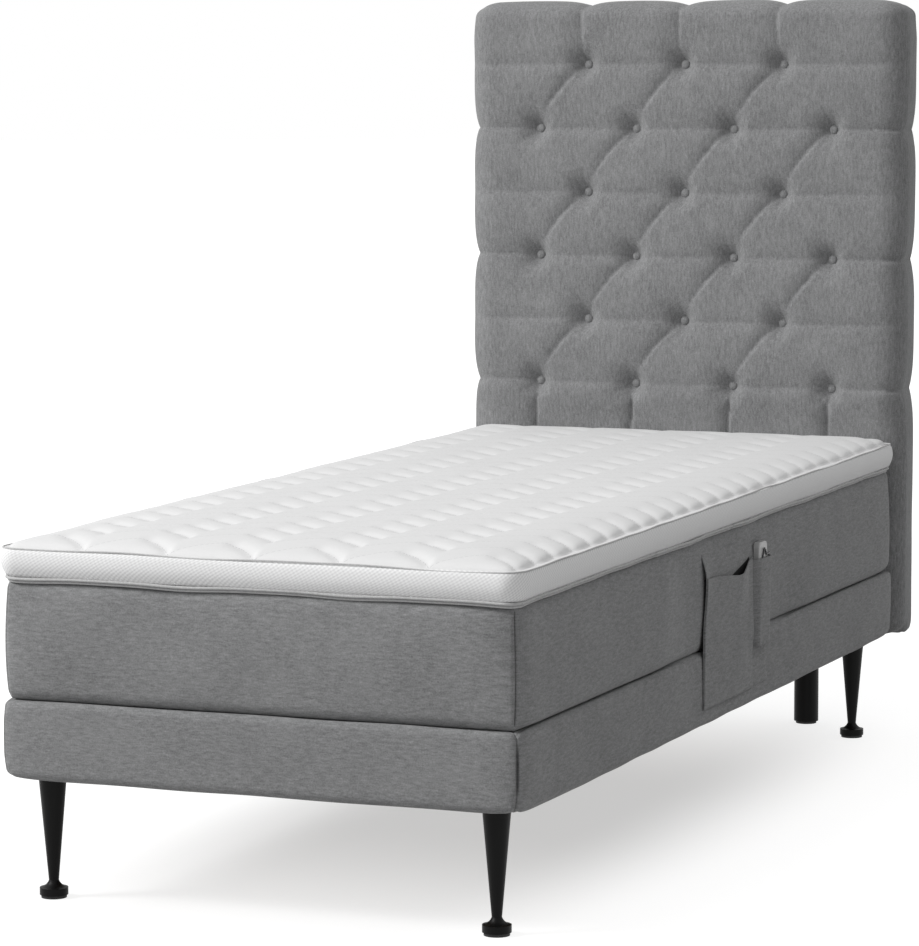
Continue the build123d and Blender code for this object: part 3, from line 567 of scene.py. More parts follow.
class Effects:
    """The node groups that several finishes share. Each is built once, when it is first asked for."""

    made: dict[str, Tree] = {}

    @classmethod
    def use(cls, desk: NodeDesk, name: str, **inputs: object) -> Node:
        """Places a group in a material.

        Args:
            desk: the material's desk.
            name: the method of this class that builds the group.
            inputs: values for its inputs, with underscores for spaces.

        Returns:
            The group node.
        """
        if name not in cls.made:
            cls.made[name] = getattr(cls, name)()
        node = desk.add("ShaderNodeGroup", node_tree=cls.made[name])
        for key, value in inputs.items():
            desk.put(node.inputs[key.replace("_", " ")], value)
        return node

    @staticmethod
    def melange() -> Tree:
        """Cloth of mixed dark and light threads: streaks along the thread, specks, slow clouds and a
        fine weave, which is the product of two sines.

        Returns:
            The group's tree.
        """
        inputs = {
            "Place": (0.0, 0.0, 0.0), "Thread": (40.0, 40.0, 450.0), "Dark": (0.1, 0.1, 0.1, 1.0),
            "Light": (0.3, 0.3, 0.3, 1.0), "Streaks": 1.0, "Specks": 0.5, "Clouds": 0.3,
            "Weave pitch": 0.0018,
        }
        desk = GroupDesk("Melange cloth", inputs, Color=COLOUR, Height=NUMBER)
        ins = desk.inputs
        streak = desk.noise(desk.vector("MULTIPLY", ins["Place"], ins["Thread"]), 1.0, 3.0, 0.6)
        coarse = desk.noise(desk.vector("MULTIPLY", ins["Place"], ins["Thread"]), 0.45, 1.0, 0.5)
        speck = desk.noise(ins["Place"], 420.0, 2.0, 0.6)
        cloud = desk.noise(ins["Place"], 9.0, 2.0, 0.5)
        tone = 0.5
        layers = ((streak, "Streaks"), (coarse, "Streaks"), (speck, "Specks"), (cloud, "Clouds"))
        for value, strength in layers:
            centred = desk.math("SUBTRACT", value, 0.5)
            tone = desk.math("MULTIPLY_ADD", centred, ins[strength], tone)
        slub = desk.spread(streak, 0.66, 0.8)
        colour = desk.mix(desk.math("ADD", tone, 0.0, clamp=True), ins["Dark"], ins["Light"])
        lighter = desk.vector("SCALE", ins["Light"])
        lighter.node.inputs["Scale"].default_value = 1.25
        colour = desk.mix(desk.math("MULTIPLY", slub, 0.6), colour, lighter)
        x, y, z = desk.split(ins["Place"])
        rate = desk.math("DIVIDE", 2 * math.pi, ins["Weave pitch"])
        across = desk.math("SINE", desk.math("MULTIPLY", desk.math("ADD", x, y), rate))
        upward = desk.math("SINE", desk.math("MULTIPLY", z, rate))
        weave = desk.math("MULTIPLY", across, upward)
        height = desk.math("MULTIPLY_ADD", weave, 0.35, streak)
        return desk.done(Color=colour, Height=height)

    @staticmethod
    def stitches() -> Tree:
        """A row of stitches at a set distance from a seam: a narrow band of that distance, cut into
        dashes along the seam.

        Returns:
            The group's tree.
        """
        inputs = {
            "Distance": 0.0, "Along": 0.0, "Inset": 0.006, "Width": 0.0009, "Pitch": 0.006, "Dash": 0.62,
        }
        desk = GroupDesk("Row of stitches", inputs, Mask=NUMBER)
        ins = desk.inputs
        off = desk.math("ABSOLUTE", desk.math("SUBTRACT", ins["Distance"], ins["Inset"]))
        band = desk.math("LESS_THAN", off, ins["Width"])
        turn = desk.math("FRACT", desk.math("DIVIDE", ins["Along"], ins["Pitch"]))
        dash = desk.math("LESS_THAN", turn, ins["Dash"])
        return desk.done(Mask=desk.math("MULTIPLY", band, dash))

    @staticmethod
    def knit() -> Tree:
        """A knitted cloth with raised ribs that lean to the right, broken into small beads: a sine across the
        ribs plus a weaker one along them, over a fine stitch texture. The pattern runs on round the corners
        at both ends of the face at Foot. Its colour goes from Base on the high beads to Shade in the low
        hollows between them, a painted shade.

        Returns:
            The group's tree.
        """
        inputs = {
            "Place": (0.0, 0.0, 0.0), "Foot": -1.1, "Pitch": 0.0046, "Base": (0.8, 0.8, 0.8, 1.0),
            "Shade": (0.6, 0.6, 0.6, 1.0),
        }
        desk = GroupDesk("Beaded knit", inputs, Color=COLOUR, Height=NUMBER)
        ins = desk.inputs
        x, y, z = desk.split(ins["Place"])
        along = desk.math("MULTIPLY_ADD", desk.math("SIGN", x), desk.math("SUBTRACT", y, ins["Foot"]), x)
        rate = desk.math("DIVIDE", 2 * math.pi, ins["Pitch"])
        across = desk.math("MULTIPLY_ADD", along, -0.5, desk.math("MULTIPLY", z, 0.87))
        lengthways = desk.math("MULTIPLY_ADD", along, 0.62, desk.math("MULTIPLY", z, 0.36))
        rib = desk.math("SINE", desk.math("MULTIPLY", across, rate))
        bead = desk.math("SINE", desk.math("MULTIPLY", lengthways, rate))
        diamond = desk.spread(desk.math("MULTIPLY_ADD", bead, 0.5, rib), -1.2, 1.2)
        fine = desk.noise(ins["Place"], 700.0, 1.0)
        # Painted shade: the colour is darker where the beads are lower, the same pattern as the height.
        tone = desk.math("MULTIPLY_ADD", fine, 0.3, desk.math("MULTIPLY", diamond, 0.85), clamp=True)
        colour = desk.mix(tone, ins["Shade"], ins["Base"])
        return desk.done(Color=colour, Height=desk.math("MULTIPLY_ADD", fine, 0.2, diamond))

    @staticmethod
    def fine_grain() -> Tree:
        """Small unevenness of a hard finish: a fine noise for bump, a slow one for roughness.

        Returns:
            The group's tree.
        """
        inputs = {"Place": (0.0, 0.0, 0.0), "Grain": 900.0, "Smears": 14.0, "Low": 0.3, "High": 0.5}
        desk = GroupDesk("Fine grain", inputs, Roughness=NUMBER, Height=NUMBER, Tone=NUMBER)
        ins = desk.inputs
        fine = desk.noise(ins["Place"], 1.0, 2.0)
        desk.put(fine.node.inputs["Scale"], ins["Grain"])
        slow = desk.noise(ins["Place"], 1.0, 3.0, 0.6)
        desk.put(slow.node.inputs["Scale"], ins["Smears"])
        both = desk.math("MULTIPLY_ADD", fine, 0.3, desk.math("MULTIPLY", slow, 0.7))
        rough = desk.spread(both, 0.3, 0.7, ins["Low"], ins["High"])
        return desk.done(Roughness=rough, Height=fine, Tone=slow)

    @staticmethod
    def wood_grain() -> Tree:
        """Growth rings cut lengthways: a sine of the distance across, bent by a stretched noise, with
        fine pores along the grain.

        Returns:
            The group's tree.
        """
        inputs = {
            "Place": (0.0, 0.0, 0.0), "Stretch": (8.0, 1.0, 8.0), "Rings": 60.0,
            "Early": (0.6, 0.4, 0.2, 1.0), "Late": (0.4, 0.25, 0.1, 1.0),
        }
        desk = GroupDesk("Wood grain", inputs, Color=COLOUR, Height=NUMBER)
        ins = desk.inputs
        place = desk.vector("MULTIPLY", ins["Place"], ins["Stretch"])
        bend = desk.noise(place, 1.3, 2.0)
        x, _, z = desk.split(place)
        across = desk.math("MULTIPLY_ADD", bend, 0.9, desk.math("ADD", x, z))
        ring = desk.math("SINE", desk.math("MULTIPLY", across, ins["Rings"]))
        pores = desk.noise(place, 70.0, 2.0, 0.6)
        tone = desk.spread(desk.math("MULTIPLY_ADD", pores, 0.9, ring), -0.7, 1.9)
        return desk.done(Color=desk.mix(tone, ins["Early"], ins["Late"]), Height=pores)

    @staticmethod
    def dust() -> Tree:
        """Thin dust that lies on faces turned upwards, uneven by a noise."""
        inputs = {"Place": (0.0, 0.0, 0.0), "Facing": (0.0, 0.0, 1.0), "Amount": 0.2}
        desk = GroupDesk("Settled dust", inputs, Mask=NUMBER)
        ins = desk.inputs
        _, _, up = desk.split(ins["Facing"])
        level = desk.spread(up, 0.55, 0.95)
        patch = desk.spread(desk.noise(ins["Place"], 35.0, 3.0, 0.6), 0.35, 0.7)
        both = desk.math("MULTIPLY", level, patch)
        return desk.done(Mask=desk.math("MULTIPLY", both, ins["Amount"]))


@dataclass(frozen=True)
class Finish:
    """A surface's finish. A subclass's dress method wires its own pattern to the shader.

    Args:
        name: the material's name.
        roughness: how matt it is.
        sheen: how much soft light its fibres catch.
        bump: strength of the bump.
        depth: height of the bump.
    """

    name: str
    roughness: float = 0.6
    sheen: float = 0.0
    bump: float = 0.3
    depth: float = 0.0004

    def material(self) -> bpy.types.Material:
        """The material, built once. Its name keeps it apart from the frame's plain ones.

        Returns:
            The material, with its nodes wired.
        """
        name = f"{self.name}_finish"
        known = bpy.data.materials.get(name)
        if known:
            return known
        made = bpy.data.materials.new(name)
        made.use_nodes = True
        desk = NodeDesk(made.node_tree)
        shader = made.node_tree.nodes["Principled BSDF"]
        shader.inputs["Roughness"].default_value = self.roughness
        shader.inputs["Sheen Weight"].default_value = self.sheen
        self.dress(desk, shader)
        return made

    def dress(self, desk: NodeDesk, shader: Node) -> None:
        """Wires the finish's pattern.

        Args:
            desk: the material's desk.
            shader: its main shader.
        """
        raise NotImplementedError

    def raise_bump(self, desk: NodeDesk, shader: Node, height: object) -> None:
        """Feeds a height to the shader's normal."""
        inputs = {"Strength": self.bump, "Distance": self.depth, "Height": height}
        desk.put(shader.inputs["Normal"], desk.add("ShaderNodeBump", inputs).outputs[0])


def rest_place(desk: NodeDesk) -> Socket:
    """Each point's place at rest, which a bending piece carries along."""
    return desk.add("ShaderNodeAttribute", attribute_name=REST_PLACE).outputs["Vector"]


def object_place(desk: NodeDesk) -> Socket:
    """Each point's place in the object."""
    return desk.add("ShaderNodeTexCoord").outputs["Object"]


def carried(desk: NodeDesk, name: str) -> Socket:
    """A number that the piece's points carry."""
    return desk.add("ShaderNodeAttribute", attribute_name=name).outputs["Fac"]


def tinted(colour: Colour, factor: float) -> Colour:
    """A colour times a factor, held at 1."""
    return tuple(min(1.0, part * factor) for part in colour)


@dataclass(frozen=True)
class MelangeCloth(Finish):
    """Woven grey cloth of mixed threads.

    Args:
        dark: colour of the dark threads.
        light: colour of the light threads.
        run: which way the thick threads run.
        streaks: contrast of the streaks.
        specks: contrast of the specks.
        seam_shade: how dark the painted shade is in seams and in the hollows that the points' values mark.
    """

    roughness: float = 0.92
    sheen: float = 0.12
    dark: Colour = (0.10, 0.101, 0.103)
    light: Colour = (0.32, 0.322, 0.325)
    run: ThreadRun = ThreadRun.LEVEL
    streaks: float = 0.68
    specks: float = 0.95
    seam_shade: float = 0.55

    def dress(self, desk: NodeDesk, shader: Node) -> None:
        """Wires the cloth, with a painted shade that darkens it in its seams and hollows and fades its sheen
        and specular there.

        Args:
            desk: the material's desk.
            shader: its main shader.
        """
        thread = (120.0, 120.0, 560.0) if self.run is ThreadRun.LEVEL else (560.0, 560.0, 130.0)
        cloth = Effects.use(
            desk, "melange", Place=rest_place(desk), Thread=thread, Dark=self.dark, Light=self.light,
            Streaks=self.streaks, Specks=self.specks,
        )
        # Painted shade: the colour goes towards black, and the sheen and specular fade, where the points'
        # distance value is near 0 or below.
        shade = desk.spread(carried(desk, SHADE_DISTANCE), 0.0003, 0.0016, self.seam_shade, 0.0)
        lit = desk.math("SUBTRACT", 1.0, shade)
        desk.put(shader.inputs["Sheen Weight"], desk.math("MULTIPLY", lit, self.sheen))
        desk.put(shader.inputs["Specular IOR Level"], desk.math("MULTIPLY", lit, 0.5))
        colour = desk.mix(shade, cloth.outputs["Color"], (0.01, 0.01, 0.01))
        desk.put(shader.inputs["Base Color"], colour)
        self.raise_bump(desk, shader, cloth.outputs["Height"])


@dataclass(frozen=True)
class QuiltedKnit(Finish):
    """White knitted cover of the topper, with its quilting stitches and a diamond knit on the band.

    Args:
        white: colour of the top.
        shade: the darker colour that a fine noise mixes into the top.
        rib: colour of the band's ribs.
        groove: colour between them, a painted shade in the knit's hollows.
        quilt: the quilting.
    """

    roughness: float = 0.8
    sheen: float = 0.15
    white: Colour = (0.75, 0.75, 0.75)
    shade: Colour = (0.66, 0.66, 0.665)
    rib: Colour = (0.90, 0.90, 0.90)
    groove: Colour = (0.66, 0.66, 0.665)
    quilt: Quilt | None = None

    def dress(self, desk: NodeDesk, shader: Node) -> None:
        """Mixes the plain knit of the top with the diamonds of the band.

        Args:
            desk: the material's desk.
            shader: its main shader.
        """
        place = rest_place(desk)
        diamond = Effects.use(
            desk, "knit", Place=place, Foot=self.quilt.foot, Base=self.rib, Shade=self.groove
        )
        fine = desk.noise(place, 1100.0, 2.0)
        slow = desk.noise(place, 60.0, 2.0)
        top = desk.mix(desk.math("MULTIPLY", fine, 0.35), self.white, self.shade)
        stitch = self.quilt.stitch_mask(desk, place)
        top = desk.mix(desk.math("MULTIPLY", stitch, 0.45), top, (0.35, 0.35, 0.36))
        band = carried(desk, BAND)
        colour = desk.mix(band, top, diamond.outputs["Color"])
        desk.put(shader.inputs["Base Color"], colour)
        low = desk.math("MULTIPLY_ADD", slow, 0.4, desk.math("MULTIPLY", fine, 0.3))
        low = desk.math("SUBTRACT", low, stitch)
        height = desk.add("ShaderNodeMix", {0: band, 2: low, 3: diamond.outputs["Height"]}).outputs[0]
        self.raise_bump(desk, shader, height)


@dataclass(frozen=True)
class PlainCloth(Finish):
    """A plain close cloth, as on piping and lining.

    Args:
        colour: its colour.
        rib: pitch of its ribs.
    """

    roughness: float = 0.85
    sheen: float = 0.2
    colour: Colour = (0.3, 0.3, 0.3)
    rib: float = 0.0012

    def dress(self, desk: NodeDesk, shader: Node) -> None:
        """Wires a fine cross-woven cloth.

        Args:
            desk: the material's desk.
            shader: its main shader.
        """
        cloth = Effects.use(
            desk, "melange", Place=rest_place(desk), Thread=(500.0, 500.0, 500.0),
            Dark=tinted(self.colour, 0.8), Light=tinted(self.colour, 1.2), Weave_pitch=self.rib,
        )
        desk.put(shader.inputs["Base Color"], cloth.outputs["Color"])
        self.raise_bump(desk, shader, cloth.outputs["Height"])


@dataclass(frozen=True)
class HardFinish(Finish):
    """Paint, lacquer, bare steel or moulded plastic.

    Args:
        colour: its colour.
        metal: 1 for bare metal.
        smooth: roughness where it is cleanest.
        coat: weight of a clear coat.
        gloss: strength of its plain reflection, where 0.5 is usual.
        grain: how many grains to the metre.
        dusty: how much dust lies on it.
    """

    colour: Colour = (0.02, 0.02, 0.02)
    metal: float = 0.0
    smooth: float = 0.3
    coat: float = 0.0
    gloss: float = 0.5
    grain: float = 900.0
    dusty: float = 0.1

    def dress(self, desk: NodeDesk, shader: Node) -> None:
        """Wires a slightly uneven colour and roughness, a fine grain and a little dust.

        Args:
            desk: the material's desk.
            shader: its main shader.
        """
        place = object_place(desk)
        grain = Effects.use(
            desk, "fine_grain", Place=place, Grain=self.grain, Low=self.smooth, High=self.roughness
        )
        facing = desk.add("ShaderNodeTexCoord").outputs["Normal"]
        dust = Effects.use(desk, "dust", Place=place, Facing=facing, Amount=self.dusty).outputs["Mask"]
        colour = desk.mix(grain.outputs["Tone"], tinted(self.colour, 0.8), tinted(self.colour, 1.15))
        colour = desk.mix(dust, colour, (0.35, 0.34, 0.32))
        desk.put(shader.inputs["Base Color"], colour)
        desk.put(shader.inputs["Roughness"], grain.outputs["Roughness"])
        shader.inputs["Metallic"].default_value = self.metal
        shader.inputs["Coat Weight"].default_value = self.coat
        shader.inputs["Specular IOR Level"].default_value = self.gloss
        self.raise_bump(desk, shader, grain.outputs["Height"])


@dataclass(frozen=True)
class Timber(Finish):
    """Planed softwood or a sheet's veneer.

    Args:
        early: colour of the light wood.
        late: colour of the dark wood.
        stretch: how the grain is squeezed along each axis.
        plies: thickness of a ply that shows on edges, or 0.
    """

    roughness: float = 0.65
    early: Colour = (0.62, 0.43, 0.25)
    late: Colour = (0.42, 0.26, 0.13)
    stretch: Colour = (9.0, 0.8, 9.0)
    plies: float = 0.0

    def dress(self, desk: NodeDesk, shader: Node) -> None:
        """Wires the grain, and the plies' stripes on upright edges.

        Args:
            desk: the material's desk.
            shader: its main shader.
        """
        place = object_place(desk)
        wood = Effects.use(
            desk, "wood_grain", Place=place, Stretch=self.stretch, Early=self.early, Late=self.late
        )
        colour = wood.outputs["Color"]
        if self.plies:
            _, _, z = desk.split(place)
            _, _, up = desk.split(desk.add("ShaderNodeTexCoord").outputs["Normal"])
            edge = desk.math("LESS_THAN", desk.math("ABSOLUTE", up), 0.5)
            turn = desk.math("FRACT", desk.math("DIVIDE", z, 2 * self.plies))
            stripe = desk.math("MULTIPLY", desk.math("LESS_THAN", turn, 0.5), edge)
            colour = desk.mix(desk.math("MULTIPLY", stripe, 0.5), colour, self.late)
        desk.put(shader.inputs["Base Color"], colour)
        self.raise_bump(desk, shader, wood.outputs["Height"])


@dataclass(frozen=True)
class Chips(Finish):
    """Chipboard: flakes of two colours in random cells.

    Args:
        pale: colour of the pale flakes.
        deep: colour of the dark flakes.
    """

    roughness: float = 0.85
    pale: Colour = (0.58, 0.42, 0.25)
    deep: Colour = (0.32, 0.2, 0.11)

    def dress(self, desk: NodeDesk, shader: Node) -> None:
        """Wires the flakes.

        Args:
            desk: the material's desk.
            shader: its main shader.
        """
        place = object_place(desk)
        cells = desk.add("ShaderNodeTexVoronoi", {"Vector": place, "Scale": 260.0})
        tone = desk.add("ShaderNodeSeparateColor", {0: cells.outputs["Color"]}).outputs[0]
        desk.put(shader.inputs["Base Color"], desk.mix(tone, self.deep, self.pale))
        self.raise_bump(desk, shader, cells.outputs["Distance"])


@dataclass(frozen=True)
class Quilt:
    """The topper's quilting: wavy rows across the bed, deep on the falling half of each wave.

    Args:
        rows_from: mean line of the first row, from the foot face.
        pitch: from one row to the next.
        half_wave: from a wave's top to its bottom, across the bed.
        swing: how far a wave goes to each side of its mean line.
        depth: depth of a deep crease.
        faint_share: how deep the rising halves are, as a share.
        stitch: length of a stitch with its gap.
        foot: place of the topper's foot face.
    """

    rows_from: float = 0.038
    pitch: float = 0.0836
    half_wave: float = 0.075
    swing: float = 0.030
    depth: float = 0.0060
    faint_share: float = 0.16
    stitch: float = 0.007
    foot: float = -1.107

    def wave(self, x: Array) -> tuple[Array, Array]:
        """A row's offset at x, and how far along its wave x is, from -1 to 1 with 0 at the top.

        The offset is the swing times 1 minus twice the distance from the top to the power 1.5.
        """
        along = np.mod(x / (2 * self.half_wave), 1.0) * 2 - 1
        return self.swing * (1 - 2 * np.abs(along) ** 1.5), along

    def relief(self, x: Array, y: Array) -> Array:
        """How far the cover lies below its highest level at each place.

        Between two rows the cover is a cushion, whose drop is the distance from its middle to the
        power 2.4. The drop is full on the falling half of a wave and slight on the rising half, and less
        towards the head.

        Args:
            x: places across the bed.
            y: places along it.

        Returns:
            The drop at each place.
        """
        offset, along = self.wave(x)
        turn = np.mod((y - self.foot - self.rows_from - offset) / self.pitch, 1.0)
        drop = np.abs(2 * turn - 1) ** 2.4
        strength = self.faint_share + (1 - self.faint_share) * smooth_step(-0.12, 0.3, along)
        strength = strength * (1 - 0.75 * smooth_step(0.93, 1.0, np.abs(along)))
        near = 1 - 0.6 * np.clip((y - self.foot) / 2.1, 0, 1)
        return self.depth * drop * strength * near

    def stitch_mask(self, desk: NodeDesk, place: Socket) -> Socket:
        """The same rows as a shader mask of short stitches.

        Args:
            desk: the material's desk.
            place: each point's place.

        Returns:
            1 on a stitch, 0 elsewhere.
        """
        x, y, _ = desk.split(place)
        turn = desk.math("FRACT", desk.math("DIVIDE", x, 2 * self.half_wave))
        along = desk.math("ABSOLUTE", desk.math("MULTIPLY_ADD", turn, 2.0, -1.0))
        power = desk.math("POWER", along, 1.5)
        offset = desk.math("MULTIPLY_ADD", power, -2 * self.swing, self.swing)
        mean = desk.math("SUBTRACT", desk.math("SUBTRACT", y, self.foot + self.rows_from), offset)
        wrapped = desk.math("FRACT", desk.math("ADD", desk.math("DIVIDE", mean, self.pitch), 0.5))
        off = desk.math("MULTIPLY", desk.math("SUBTRACT", wrapped, 0.5), self.pitch)
        row = Effects.use(
            desk, "stitches", Distance=off, Along=x, Inset=0.0, Width=0.0009, Pitch=self.stitch, Dash=0.6
        )
        return row.outputs["Mask"]


@dataclass
class Bend:
    """Where the mattress and topper are cut into their three parts, with the places of the bed's joints.

    Args:
        seat_cut: where the middle and head parts meet.
        thigh_cut: where the foot and middle parts meet.
        hinge_height: height of the joints' axes; not used.
        back_hinge: place of the back joint along the bed; not used.
        thigh_hinge: place of the thigh joint; not used.
        knee: place of the knee joint; not used.
        lead: how far before a hinge the back and the thigh part begin to bend; not used.
        back_run: how far along the bed and up the back part's bend goes; not used.
        thigh_run: the same of the thigh part; not used.
        knee_reach: how far on each side of the knee the foot part bends; not used.
    """

    seat_cut: float = -0.044
    thigh_cut: float = -0.469
    hinge_height: float = 0.312
    back_hinge: float = 0.186
    thigh_hinge: float = -0.214
    knee: float = -0.614
    lead: float = 0.030
    back_run: Pair = (0.294, 0.176)
    thigh_run: Pair = (-0.267, 0.084)
    knee_reach: float = 0.140

    def span(self, part: Part, foot: float, head: float) -> Pair:
        """The stretch of the bed that a part covers."""
        spans = {
            Part.FOOT: (foot, self.thigh_cut), Part.MIDDLE: (self.thigh_cut, self.seat_cut),
            Part.HEAD: (self.seat_cut, head),
        }
        return spans[part]

    def apply(self, piece: bpy.types.Object, part: Part) -> None:
        """Fixes a piece's transform into its mesh, the same for every part.

        Args:
            piece: the piece.
            part: the part that it belongs to.
        """
        if part is Part.HEAD:
            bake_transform(piece)
        elif part is Part.MIDDLE:
            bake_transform(piece)
        else:
            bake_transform(piece)

    @staticmethod
    def moved(start: tuple, run: Pair) -> Triple:
        """A point further along the bed and up."""
        return (start[0], start[1] + run[0], start[2] + run[1])


def corner_of(*nodes: str) -> tuple[Array, Array]:
    """The lowest and highest corner of several CAD nodes together."""
    boxes = [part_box(node) for node in nodes]
    low = np.min([np.array(b[0]) for b in boxes], axis=0)
    return np.round(low, 6), np.round(np.max([np.array(b[1]) for b in boxes], axis=0), 6)


@dataclass
class BoxBase:
    """The upholstered box that the bed stands on: four padded panels sewn at the corners.

    Args:
        finish: the cloth.
        corner: how round an upright corner is halfway up.
        lower: how much rounder it is at the bottom.
        upper: how much rounder it is at the top.
        edges: how round the lower and the upper edge are.
        crown: how far a panel swells between its edges.
        grow: how far the face stands out of the plain box.
        tuck: how far it falls back at a corner.
        tuck_reach: how far from the corner that is felt.
        seam_depth: how far a corner seam pulls in.
        seam_reach: how far from the seam that is felt.
        pocket_side: how much more the side with the pocket stands out, at its ends and at the pocket.
        turn_reach: how far from the corner that side takes to stand out.
        step: widest spacing of its points.
        corner_lines: distances from a corner that get a line of points.
        uneven: its unevenness.
    """

    finish: Finish
    corner: float = 0.006
    lower: float = 0.015
    upper: float = 0.008
    edges: Pair = (0.014, 0.010)
    crown: float = 0.0020
    grow: float = 0.0080
    tuck: float = 0.0085
    tuck_reach: float = 0.022
    seam_depth: float = 0.0016
    seam_reach: float = 0.004
    pocket_side: Pair = (0.0010, -0.0062)
    turn_reach: float = 0.026
    step: float = 0.012
    corner_lines: Row = (0.0, 0.001, 0.002, 0.0035, 0.0055, 0.008, 0.012, 0.017, 0.023)
    uneven: Uneven = Uneven(0.0006, 11, 0.16)

    def build(self) -> None:
        """Builds the four panels."""
        for side, name in PANELS.items():
            self.panel(side, f"{name}_cover")

    def profile(self, bottom: float, top: float, wrap: float) -> tuple[Array, Array]:
        """The cloth's way across a panel: in under the board, up the face and in over its top.

        Args:
            bottom: height of the lower edge.
            top: height of the upper edge.
            wrap: how far it goes in.

        Returns:
            How far in each point lies, and how high.
        """
        wide = max(self.edges)
        heights = edge_spaced(bottom, top, self.step / 2, wide)
        insets = edge_spaced(0.0, wrap, self.step / 2, 0.0, extra=wide * np.linspace(0, 1, 6))
        inside = np.ones(len(insets) - 1)
        inset = np.concatenate([insets[:0:-1], np.zeros(len(heights)), insets[1:]])
        return inset, np.concatenate([inside * bottom, heights, inside * top])

    def panel(self, side: Side, node: str) -> None:
        """One panel: a profile that runs in under the board, up its face and in over its top, carried
        along the side between two mitred corners.

        Args:
            side: which side of the base.
            node: the CAD node that it replaces.
        """
        low, high = corner_of(*(f"{name}_cover" for name in PANELS.values()))
        board_low, board_high = corner_of(*(f"{name}_board" for name in PANELS.values()))
        axis, sign = side.value
        run = 1 - axis
        edge = (low if sign < 0 else high)[axis]
        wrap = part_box(node)[1][axis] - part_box(node)[0][axis]
        inset, height = self.profile(low[2], high[2], wrap)
        lines = edge_spaced(0.0, 1.0, self.step / (high[run] - low[run]))
        near = np.array(self.corner_lines) / (high[run] - low[run])
        lines = np.unique(np.concatenate([lines, near, 1 - near]))
        length = high[run] - low[run] - 2 * inset
        raw = np.empty((len(lines), len(inset), 3))
        raw[..., axis] = edge - sign * inset
        raw[..., run] = low[run] + inset + lines[:, None] * length
        raw[..., 2] = height
        turn = self.corner + self.lower * smooth_step(0.045, 0.0, height - low[2])
        turn = turn + self.upper * smooth_step(0.035, 0.0, high[2] - height)
        level = (height - low[2]) / (high[2] - low[2])
        upright = self.edges[0] + (self.edges[1] - self.edges[0]) * smooth_step(0.3, 0.7, level)
        radius = np.stack([turn, turn, upright], axis=-1)
        points, outward, _ = rounded(raw, low, high, np.broadcast_to(radius, raw.shape))
        from_corner = np.minimum(lines[:, None] * length, (1 - lines[:, None]) * length)
        seam = self.seam_depth * np.exp(-((from_corner / (self.seam_reach / 2)) ** 2))
        swell = self.crown * (swelling(level, 0.8) - 1) + self.grow
        swell = swell - self.tuck * np.exp(-from_corner / self.tuck_reach)
        if side is Side.RIGHT:
            turned = 1 - np.exp(-from_corner / self.turn_reach)
            most, held = self.pocket_side
            held = most + (held - most) * smooth_step(0.208, 0.232, raw[..., 2])
            stand = self.grow - self.tuck + turned * (self.tuck + side_extra(raw[..., 1], most, held))
            swell = self.crown * (swelling(level, 0.8) - 1) + stand
        uneven = self.uneven.at(raw)
        face = 1 - smooth_step(0.0, 0.004, np.broadcast_to(inset, from_corner.shape))
        points = points + outward * ((swell + uneven) * face - seam)[..., None]
        inner = np.clip(points, board_low, board_high)
        within = np.abs(raw[..., axis] - edge) < wrap - TINY
        inner[..., axis] = np.where(within, inner[..., axis], points[..., axis])
        surface = shell_between(points, inner)
        if (axis == 0) != (sign > 0):
            surface = surface.turned()
        self.finish_panel(side, node, surface)

    def finish_panel(self, side: Side, node: str, surface: Surface) -> None:
        """Puts a panel in the scene, with each point's distance from the nearest corner seam, near which the
        cloth gets a painted shade.
        """
        along = surface.points[:, 1 - side.value[0]]
        # Painted shade: the cloth is darkened within a few millimetres of each corner seam, by this distance.
        hem = np.minimum(along - along.min(), along.max() - along)
        piece = make_piece(f"base_{side.name.lower()}_panel", surface, self.finish.material(), {SHADE_DISTANCE: hem})
        stand_for(piece, "grey_upholstery", node)


@dataclass
class SoftLayer:
    """A soft layer over the whole bed, in three parts. A subclass gives its name, its fill, the radius of its
    edges and the step between its points.

    Args:
        finish: its cover.
        bend: where its parts are cut.
    """

    finish: Finish
    bend: Bend
    name = ""
    fill = 1.0

    def __post_init__(self) -> None:
        """Reads the lowest and highest corner of the layer's CAD solids."""
        self.low, self.high = corner_of(f"{self.name}_calf", f"{self.name}_back")

    def build(self) -> None:
        """Builds the three parts."""
        for part in Part:
            self.section(part)

    def rounded_part(
        self, part: Part, z_step: float, x_extra: Sequence[float] = (), y_extra: Sequence[float] = ()
    ) -> tuple[Surface, Array, Array, Array, Array]:
        """One part as a box with round edges, which ends flat where the next part begins.

        Args:
            part: which part.
            z_step: widest spacing up the sides.
            x_extra: more lines across.
            y_extra: more lines along.

        Returns:
            The plain box, its rounded points, their outward directions, how far out each is, and
            whether it lies on the outside at a cut.
        """
        low, high = self.low, self.high
        start, end = self.bend.span(part, low[1], high[1])
        radius = np.array(self.radius)
        xs = edge_spaced(low[0], high[0], self.step, radius[0], extra=x_extra)
        ys = edge_spaced(low[1], high[1], self.step, radius[1], extra=(start, end, *y_extra))
        ys = ys[(ys >= start - TINY) & (ys <= end + TINY)]
        box = box_surface(xs, ys, edge_spaced(low[2], high[2], z_step, radius[2]))
        reach = np.array([0.0, 1.0, 0.0])
        box_low = low - reach * (part is not Part.FOOT)
        box_high = high + reach * (part is not Part.HEAD)
        points, outward, share = rounded(box.points, box_low, box_high, radius)
        cut = [y for y, own in ((start, part is Part.FOOT), (end, part is Part.HEAD)) if not own]
        near_cut = np.isclose(box.points[:, 1][:, None], np.array(cut)[None]).any(axis=1)
        return box, points, outward, share, near_cut & (share > ON_SURFACE)

    def put_part(self, part: Part, surface: Surface, values: dict[str, Array], at_cut: Array) -> None:
        """Puts a part in the scene in place of the CAD solids that it covers, and fixes its transform.

        Args:
            part: which part.
            surface: its surface.
            values: what its points carry.
            at_cut: the points between which an edge stays sharp.
        """
        piece = make_piece(f"{self.name}_{part.value}_part", surface, self.finish.material(), values, at_cut)
        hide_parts(*(f"{self.name}_{node}" for node in COVERED[part]))
        self.bend.apply(piece, part)


